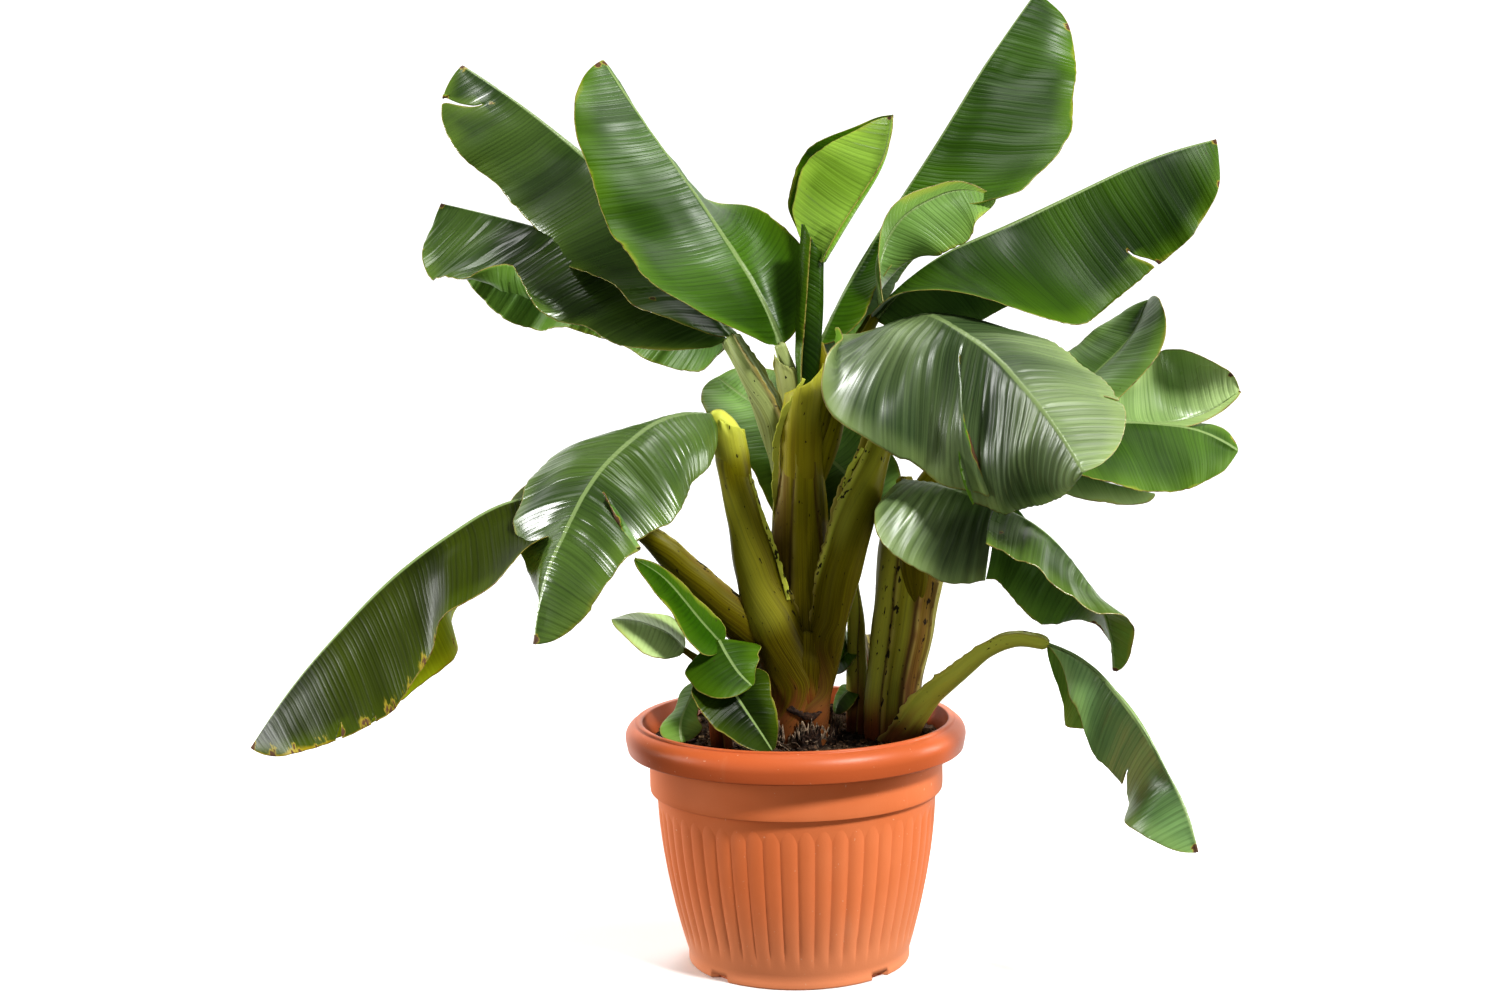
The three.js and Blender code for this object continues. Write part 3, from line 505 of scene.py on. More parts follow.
LIMBS = {
    "stem_main": dict(
        path=[[7, 0, FOOT_Z], [5, 0, 300], [1, 0, 355], [3, 2, 395]], radius=[35, 31, 41, 49, 42],
        seams=[-95, 130]),
    "stem_centre": dict(
        path=[[11, 8, 370], [9, 14, 470], [11, 12, 566], [12, 8, 625], [20, 5, 668]],
        radius=[38, 38, 33, 26, 15], seams=[[-78, -72, -50, -20], [-14, -20, -16], 40, 150],
        pale=[(-30, 16, 0.72, 1.0, 0.8)], blush=[(-48, 22, 0.15, 0.75, 0.6), (60, 14, 0.05, 0.5, 0.5)],
        spots=[(-30, 10, 0.7, 1.0, 0.8)]),
    "stalk_front_left": dict(
        path=[[-8, -18, 345], [-36, -35, 444], [-53, -40, 526], [-67, -42, 590], [-77, -45, 636],
              [-91, -48, 649]], radius=[34, 31, 25, 21, 18, 12], foot=[[1, -9, 256], [-2, -10, 300]],
        foot_radius=[30, 29], wings=20, flare=0.14,
        pale=[(-40, 90, 0.84, 1.1, 1.0), (-20, 8, 0.3, 0.9, 0.8), (-120, 50, 0.2, 0.7, 0.2)],
        spots=[(-22, 9, 0.2, 0.85, 1.0), (-45, 14, 0.1, 0.4, 0.6)]),
    "stalk_front_right": dict(
        path=[[32, -20, 330], [42, -28, 406], [61, -30, 488], [82, -26, 557], [102, -14, 613],
              [118, 0, 690], [126, -22, 745]], radius=[14, 20, 25, 24, 18, 11, 7],
        foot=[[19, -13, 256], [18, -15, 290]], foot_radius=[23, 22], wings=18, flare=0.2,
        pale=[(20, 12, 0.3, 0.95, 1.0), (60, 30, 0.4, 0.9, 0.3)], blush=[(90, 60, -0.3, 0.1, 0.5)],
        spots=[(20, 10, 0.2, 0.75, 1.0)]),
    "stalk_low_left": dict(
        path=[[-20, -12, 365], [-73, -30, 420], [-118, -40, 467], [-162, -48, 511], [-201, -52, 539],
              [-222, -55, 547]], radius=[32, 26, 23, 19, 13, 9], wings=42,
        blush=[(-42, 14, 0.0, 0.6, 0.5)], spots=[(-42, 9, 0.1, 0.9, 1.0), (42, 9, 0.1, 0.9, 1.0)]),
    "stalk_left_mid": dict(
        path=[[-6, 22, 580], [-23, 26, 647], [-46, 32, 694], [-67, 41, 736]], radius=[16, 20, 15, 9],
        foot=[[8, 16, 515]], foot_radius=[11], flare=0.3, lifted=-150, skin=CROWN_STALK,
        blush=[(-50, 9, 0.3, 0.95, 0.8)]),
    "stalk_left_low": dict(
        path=[[-4, 42, 570], [-28, 50, 645], [-52, 53, 695], [-74, 55, 731]], radius=[18, 15, 11, 8],
        foot=[[6, 24, 505]], foot_radius=[11], skin=CROWN_STALK),
    "stalk_left_high": dict(
        path=[[10, 12, 650], [0, 11, 695], [-10, 10, 727]], radius=[12, 11, 8], skin=CROWN_STALK),
    "stalk_right_high": dict(
        path=[[36, 8, 640], [42, 9, 690], [34, 10, 727]], radius=[13, 12, 9], foot=[[20, 10, 585]],
        foot_radius=[10]),
    "stalk_right_mid": dict(
        path=[[44, 14, 610], [58, 17, 665], [76, 22, 712], [101, 31, 756]], radius=[14, 13, 11, 8],
        foot=[[22, 12, 545]], foot_radius=[10]),
    "stem_second": dict(
        path=[[112, 15, FOOT_Z], [116, 18, 313], [130, 25, 396], [142, 32, 478], [148, 35, 548]],
        radius=[32, 33, 37, 41, 30], seams=[[-22, -26], [14, 22], 52, 160], lifted=28,
        # Pale tints; the one at 62 degrees is a painted highlight down its right edge
        pale=[(62, 12, 0.3, 1.0, 0.3), (-50, 34, 0.1, 1.1, 0.55), (0, 12, 0.1, 1.1, 0.35)],
        blush=[(20, 9, 0.05, 0.95, 1.0), (38, 18, 0.0, 0.8, 0.6)],
        spots=[(-24, 7, 0.1, 0.9, 1.0), (40, 6, 0.3, 0.8, 0.9), (-50, 12, 0.3, 0.7, 0.5)]),
    "stalk_second_right": dict(
        path=[[150, 32, 540], [172, 30, 575], [206, 25, 598], [248, 20, 609]], radius=[18, 14, 11, 8]),
    "stalk_second_outer": dict(
        path=[[158, 50, 520], [190, 56, 575], [240, 62, 602], [299, 60, 616]], radius=[16, 13, 10, 8]),
    "stalk_second_far": dict(
        path=[[150, 62, 500], [180, 72, 575], [235, 78, 622], [300, 71, 641]], radius=[14, 12, 10, 8]),
    "stalk_second_front": dict(
        path=[[142, -6, 470], [139, -25, 521], [134, -48, 553], [127, -62, 573]], radius=[17, 15, 12, 9],
        foot=[[142, 10, 395]], foot_radius=[13]),
    "stalk_second_back": dict(path=[[132, 58, 460], [120, 52, 500], [104, 46, 525]], radius=[14, 12, 9]),
    # Its pale tint and lift: partly its own yellow-green, partly painted light where the crown shades it
    "stalk_low_right": dict(
        path=[[118, -16, FOOT_Z], [157, -60, 324], [188, -85, 356], [218, -103, 384], [247, -113, 396],
              [284, -121, 391]], radius=[19, 15, 13, 11, 10, 8], flare=0.3, lifted=35,
        pale=[(0, 300, 0.14, 1.2, 1.0)], spots=[(-50, 12, 0.2, 0.5, 0.8)]),
    "stalk_back_high": dict(
        path=[[22, 40, 560], [36, 56, 640], [52, 84, 690], [72, 114, 714]], radius=[16, 15, 12, 9],
        foot=[[14, 22, 490]], foot_radius=[11]),
    "stalk_back_low": dict(
        path=[[110, 66, FOOT_Z], [104, 110, 318], [100, 165, 347], [97, 214, 328], [95, 238, 290]],
        radius=[15, 13, 11, 10, 8]),
    "sucker_left": dict(
        path=[[-85, -35, FOOT_Z], [-90, -52, 320], [-92, -66, 372], [-90, -72, 392]],
        radius=[13, 12, 10, 6], seams=[10, 150]),
    "sucker_stalk_outer": dict(
        path=[[-92, -62, 352], [-108, -57, 366], [-127, -60, 381]], radius=[6, 5, 4]),
    "sucker_stalk_rim": dict(path=[[-88, -52, 318], [-99, -64, 338], [-109, -71, 348]], radius=[6, 5, 4]),
    "sucker_stalk_low": dict(path=[[-91, -60, 345], [-92, -68, 355], [-93, -77, 356]], radius=[6, 5, 4]),
    # Its pale tint is painted light where stem_second shades it
    "sucker_back": dict(
        path=[[74, 42, FOOT_Z], [75, 48, 344], [74, 50, 417], [72, 50, 442]], radius=[13, 13, 11, 6],
        seams=[[-5, 5, 40], 160], pale=[(0, 200, 0.15, 1.1, 1.0)]),
}
LIMB_STEP = 3                # from one ring of points to the next
WING_STEPS = np.array([-9, -6, -4, -2, 0, 2, 4, 6, 9])


def tinted(spec, kind, degrees, t):
    """How far a limb is tinted at each place."""
    total = np.zeros(np.broadcast(degrees, t).shape)
    for middle, width, low, high, amount in spec.get(kind, []):
        off = (degrees - middle + 180) % 360 - 180
        stretch = smooth(low - 0.05, low + 0.05, t) * (1 - smooth(high - 0.05, high + 0.05, t))
        total = np.maximum(total, amount * bell(off, width) * stretch)
    return total


def limb(name, spec, number):
    """A stem with lapping sheath edges, or a stalk with a channel between two wings on its upper side."""
    is_stem = "seams" in spec
    path = spec.get("foot", []) + spec["path"]
    rows = int(np.clip(np.linalg.norm(np.diff(path, axis=0), axis=1).sum() / LIMB_STEP, 24, 110))
    line, length, front, side = swept(path, rows, TO_VIEWER if is_stem else UP)
    first = int(np.linalg.norm(line - spec["path"][0], axis=1).argmin())
    t = np.clip((np.arange(rows) - first) / (rows - 1 - first), 0, 1)[:, None]
    radius = keyed(spec["radius"], t)
    if first:
        radius[:first, 0] = keyed(spec["foot_radius"] + [spec["radius"][0]], np.arange(first) / first)
    wings = spec.get("wings", 50)
    degrees = np.linspace(-180, 180, 97 if is_stem else 49)[:-1]
    if not is_stem:
        degrees = np.unique(np.round(np.r_[degrees, WING_STEPS - wings, WING_STEPS + wings]))
    degrees = degrees[None, :]
    walk = length * np.linspace(0, 1, rows)[:, None]
    sides = degrees.shape[1]
    wing = np.zeros((rows, sides))
    seam = np.zeros((rows, sides))
    relief = 0.012 * ripple(degrees / 9 + 30 + ripple(walk / 60, number), SEED + number)
    relief = relief + 0.02 * ripple(walk / 40 + 10, SEED + number + 40)
    if is_stem:
        for k, place in enumerate(spec["seams"]):
            bend = keyed(place, t) + 5 * ripple(walk / 60, SEED + 5 * number + k)
            past = (degrees - bend + 180) % 360 - 180
            relief = relief + 0.07 * np.exp(-np.maximum(past, 0) / 20) * (past > 0)
            seam = np.maximum(seam, bell(past + 1, 3.5))
            wing = np.maximum(wing, bell(past - 4, 4) * (0.6 + 0.4 * ripple(walk / 12, number + k)))
    else:
        ragged = 1 + 0.4 * ripple(walk / 5, SEED + number) + 0.3 * ripple(walk / 17, SEED + number + 9)
        for edge in (-wings, wings):
            wing = np.maximum(wing, bell(degrees - edge, 6) * np.ones((rows, 1)))
        relief = relief + spec.get("flare", 0.12) * wing * ragged - 0.34 * bell(degrees, 0.75 * wings)
        seam = 0.8 * bell(degrees, 0.5 * wings) * (1 - smooth(0.05, 0.4, t))
    reach = radius * (1 + relief) * np.sqrt(1 - 0.85 * smooth(0.97, 1, t)**2)
    angle = np.radians(degrees)
    points = line[:, None] + reach[..., None] * ring(angle, front[:, None], side[:, None])
    faces = grid_faces(rows, sides, closed=True, flip=True)
    last = (rows - 1) * sides
    faces.append(tuple(range(sides)))
    faces.append(tuple(last + k for k in reversed(range(sides))))
    height = points[..., 2] - SOIL_Z + spec.get("lifted", 0)
    blush, pale, spots = (tinted(spec, kind, degrees, t) for kind in ("blush", "pale", "spots"))
    marks = {
        "limb_place": np.stack([angle * radius, walk + 0 * angle, 90 * number + 0 * reach], -1) * MM,
        "limb_marks": np.stack([wing, height * MM, seam], -1),
        "limb_tints": np.stack([blush, pale, np.maximum(spots, 0.3 * wing)], -1)}
    skin, slot = (STEM, "stem") if is_stem else (STALK, "stalk")
    return piece(name + "_skin", points.reshape(-1, 3), faces, [spec.get("skin", skin)], [name], slot,
                 marks=marks)


# The youngest leaf, still rolled

ROLL = {"path": [[20, 2, 672], [23, 2, 718], [26, 5, 775], [29, 8, 838], [30, 10, 862]],
        "radius": [12, 16, 17, 16, 13]}
ROLL_OVERLAP = 70            # degrees that its outer edge laps over
ROLL_SLANT = 0.2             # share of its length that the top falls toward the right
ROLL_GAP = 2.4               # from its inner to its outer edge


def rolled_leaf():
    """A leaf rolled to a slim cone, with its outer margin running down the front."""
    rows, columns = 80, 90
    line, length, front, side = swept(ROLL["path"], rows, TO_VIEWER)
    turn = np.linspace(0, 1, columns)[None, :]
    t = np.linspace(0, 1, rows)[:, None]
    angle = np.radians(-30 + 25 * t + (360 + ROLL_OVERLAP) * (turn - 1))
    t = t * (1 - ROLL_SLANT * (0.5 + 0.5 * np.sin(angle)))
    radius = keyed(ROLL["radius"], t)
    reach = radius - ROLL_GAP * (1 - turn) + 0.35 * ripple(turn * 26 + 3 * t, SEED)
    reach = reach + 2.0 * smooth(0.93, 1, turn) * ripple(t * 9, SEED + 1)
    away = ring(angle, on_line(front, t), on_line(side, t))
    outer = on_line(line, t) + reach[..., None] * away
    inner = on_line(line, t) + (reach - BLADE)[..., None] * away
    across = angle * radius
    return sheet(
        "roll_centre_leaf", outer, inner, grid_faces(rows, columns, flip=True), LEAF_SKINS["dark"],
        ["roll_centre"], "leaf",
        leaf_place=np.stack([length * t + 0.5 * across, across, 0 * across + 900], -1) * MM,
        leaf_marks=np.stack([(1 - turn) * 2 * np.pi * radius * MM, 0 * across + 5, 0 * across], -1))


# Free ends of sheaths that clasp what grows out of them: axis, radius, where they face and how far
# round they reach in degrees, how much lower one side ends, and tints

BRACTS = {
    "bract_crown": dict(
        path=[[11, 12, 566], [12, 8, 620], [16, 5, 662], [26, 3, 706]], radius=[28, 27, 24, 18], face=-80,
        spread=[60, 96, 92, 46], slant=0.33, pale=[0, 0, 0.3, 0.6], blush=0.1, skin=STEM),
    "bract_crown_left": dict(
        path=[[6, 14, 640], [2, 12, 680], [-8, 10, 716]], radius=[12, 17, 13], face=-110,
        spread=[90, 80, 40], slant=-0.3, pale=[0.1], blush=0.2, skin=CROWN_STALK),
    "bract_front_left": dict(
        path=[[-58, -41, 552], [-64, -42, 588], [-70, -43, 618], [-74, -44, 648]],
        radius=[13, 18, 20, 17], face=-75, spread=[60, 100, 92, 56], slant=-0.22, pale=[0, 0, 0.5, 1.0],
        blush=0.0),
}


def bract(name, spec, number):
    """A thin sheath round its axis, with a ruffled margin at its sides and top."""
    rows, columns = 44, 41
    face, slant = math.radians(spec["face"]), spec["slant"]
    line, length, front, side = swept(spec["path"], rows, np.array([math.cos(face), math.sin(face), 0]))
    u = np.linspace(-1, 1, columns)[None, :]
    t = np.linspace(0, 1, rows)[:, None] * (1 - abs(slant) * (0.5 - 0.5 * np.sign(slant) * u))
    angle = np.radians(keyed(spec["spread"], t)) * u
    rim = np.maximum(smooth(0.8, 1, t / t.max(axis=0)), smooth(0.8, 1, np.abs(u)))
    reach = keyed(spec["radius"], t) + 2.2 * rim * ripple(5 * u + 7 * t + 20 * number, SEED + number)
    away = ring(angle, on_line(front, t), on_line(side, t))
    outer = on_line(line, t) + reach[..., None] * away
    none = 0 * angle
    margin = 0.8 * smooth(0.9, 1, np.abs(u)) + none
    pale = keyed(spec["pale"], t) * (0.8 + 0.2 * rim)
    return sheet(
        name, outer, outer - BLADE * away, grid_faces(rows, columns, flip=True),
        [spec.get("skin", STALK)], (), "stalk",
        limb_place=np.stack([angle * reach, length * t, none + 2000 + 90 * number], -1) * MM,
        limb_marks=np.stack([margin, (outer[..., 2] - SOIL_Z) * MM, none], -1),
        limb_tints=np.stack([none + spec["blush"], pale, 0.2 * rim], -1))


# Scalloped margins that stand out from the side of a sheath: points of their foot, width and direction

RUFFLES = [
    dict(
         path=[[-20, 0, 520], [-18, -4, 570], [-15, -8, 612], [-7, -12, 643], [5, -15, 664],
               [16, -16, 686]], width=[3, 5, 6, 6, 5], out=[-1, -0.5, 0.4], pale=0.8, spots=0.3),
    dict(
         path=[[36, -36, 477], [46, -36, 512], [53, -36, 535], [62, -36, 558], [68, -36, 581],
               [82, -36, 606]], width=[3, 5, 5, 4], out=[-1, -0.6, 0.1], pale=0.9, spots=0.9),
    dict(path=[[-4, -50, 434], [-16, -50, 482], [-35, -50, 537], [-43, -50, 561], [-52, -50, 595]],
         width=[5, 4, 3, 2], out=[1, -0.6, 0.1], pale=0.9, spots=0.8),
]


def ruffles():
    """Pale scalloped margins along the sheaths, joined into one piece."""
    rows, columns = 140, 7
    t = np.linspace(0, 1, rows)[:, None]
    u = np.linspace(0, 1, columns)[None, :]
    same = np.ones((rows, columns))
    parts, place, marks, tints = [], [], [], []
    for number, edge in enumerate(RUFFLES):
        line, length, out, flat = swept(edge["path"], rows, np.array(edge["out"], float))
        walk = t * length
        scallop = 0.8 + 0.3 * ripple(walk / 9, SEED + number) + 0.2 * ripple(walk / 4, SEED + 3)
        wide = keyed(edge["width"], t) * scallop * np.sqrt(np.maximum(0.05, 4 * t * (1 - t)))
        wave = 1.8 * u * ripple(walk / 8 + 5 * number, SEED + 4)
        middle = line[:, None] + (u * (wide + 3) - 3)[..., None] * out[:, None]
        middle = middle + wave[..., None] * flat[:, None]
        half_thick = (1.5 - u)[..., None] * flat[:, None]
        parts.append(shell(middle + half_thick, middle - half_thick, grid_faces(rows, columns)))
        place.append(both(np.stack([4 * u * same, walk * same, (3000 + 90 * number) * same], -1) * MM))
        marks.append(both(np.stack([0 * same, 0.3 * same, 0 * same], -1)))
        tints.append(both(np.stack([0 * same, edge["pale"] * same, edge["spots"] * same], -1)))
    return piece("sheath_ruffles", *join(parts), [STALK], (), "stalk", marks={
        "limb_place": np.vstack(place), "limb_marks": np.vstack(marks), "limb_tints": np.vstack(tints)})


# Dry remains of old sheaths at the foot of the main stem

SCALES = 90


def dry_scales():
    """Torn papery scales around the foot, joined into one piece."""
    rng = np.random.RandomState(SEED + 3)
    rows, columns = 8, 7
    t = np.linspace(0, 1, rows)[:, None]
    u = np.linspace(-1, 1, columns)[None, :]
    parts, kind = [], []
    for number in range(SCALES):
        shift = rng.uniform()
        around = rng.uniform(0, 2 * np.pi)
        wide, tall = rng.uniform(5, 13), rng.uniform(12, 32) * (1.3 - 0.6 * shift)
        taper = 1 - 0.5 * t**2 * rng.uniform(0.2, 1.2)
        torn_top = 1 + 0.28 * ripple(3 * u + 10 * number, SEED + number)
        reach = 36 + 8 * shift + (2 + 7 * rng.uniform() * (0.4 + shift)) * t**1.6
        reach = reach + 1.6 * ripple(2.5 * u + 2 * t + number, SEED + 5)
        spin = around + wide * u * taper / 40 + 0.1 * rng.uniform(-1, 1) * t
        z = SOIL_Z - 3 + tall * t * torn_top + 1.5 * ripple(2 * u + number, SEED + 8)
        outer = np.stack([STEM_FOOT[0] + reach * np.cos(spin), STEM_FOOT[1] + reach * np.sin(spin), z], -1)
        inner = outer - 0.8 * np.stack([np.cos(spin), np.sin(spin), 0 * spin], -1)
        parts.append(shell(outer, inner, grid_faces(rows, columns)))
        kind += [int(rng.uniform() > 0.62)] * len(parts[-1][1])
    return piece("dry_scales", *join(parts), [DRY, DRY_EDGE], ["sheath_dry"], "dry_sheath", kind)


# Dark torn edges where one sheath leaves another: points of the edge, and its width

TORN_EDGES = [
    dict(path=[[-11, -38, 322], [-7, -40, 308], [5, -41, 299], [18, -41, 295], [31, -37, 300]], width=5.5),
    dict(path=[[12, -38, 352], [4, -40, 334], [-2, -41, 318]], width=1.6),
]


def torn_edges():
    """Ragged dark strips along the torn ends of the sheaths at the foot."""
    rows, columns = 60, 7
    t = np.linspace(0, 1, rows)[:, None]
    u = np.linspace(-1, 1, columns)[None, :]
    parts = []
    for number, edge in enumerate(TORN_EDGES):
        line, along, _ = chordal_curve(edge["path"], rows)
        outward = unit(line * np.array([1, 1, 0]) - np.array([*STEM_FOOT, 0]))
        across = np.cross(along, outward)
        ragged = 0.7 + 0.3 * ripple(t * 14, SEED + number) + 0.25 * ripple(t * 31 + 5 * u, SEED + 2)
        wide = edge["width"] * ragged * np.sqrt(np.maximum(0.02, 4 * t * (1 - t)))
        lift = 1.2 * (1 - u**2) + 0.8 * ripple(t * 20 + 3 * u, SEED + 4)
        top = line[:, None] + (wide * u)[..., None] * across[:, None] + lift[..., None] * outward[:, None]
        parts.append(shell(top, top - 3.0 * outward[:, None], grid_faces(rows, columns)))
    return piece("sheath_torn_edges", *join(parts), [DRY_EDGE], (), "dry_sheath")


# Leaves: the part's rule, carried to a finer grid with ribs, pleats, waves and tears. Headings, rises
# and rolls of the rib are in degrees. A dry place holds its share along, its share across from the rib
# to the left margin at 1 or the right one at -1, its size and its strength. A bend is a broad fold
# along the veins, with its side, its place and span along the leaf, and its height.

def half(width, opening, curl, **more):
    """Half of a leaf: its width, the degrees that it opens at the rib, and those that it bends on."""
    return dict(width=width, opening=opening, curl=curl, **more)


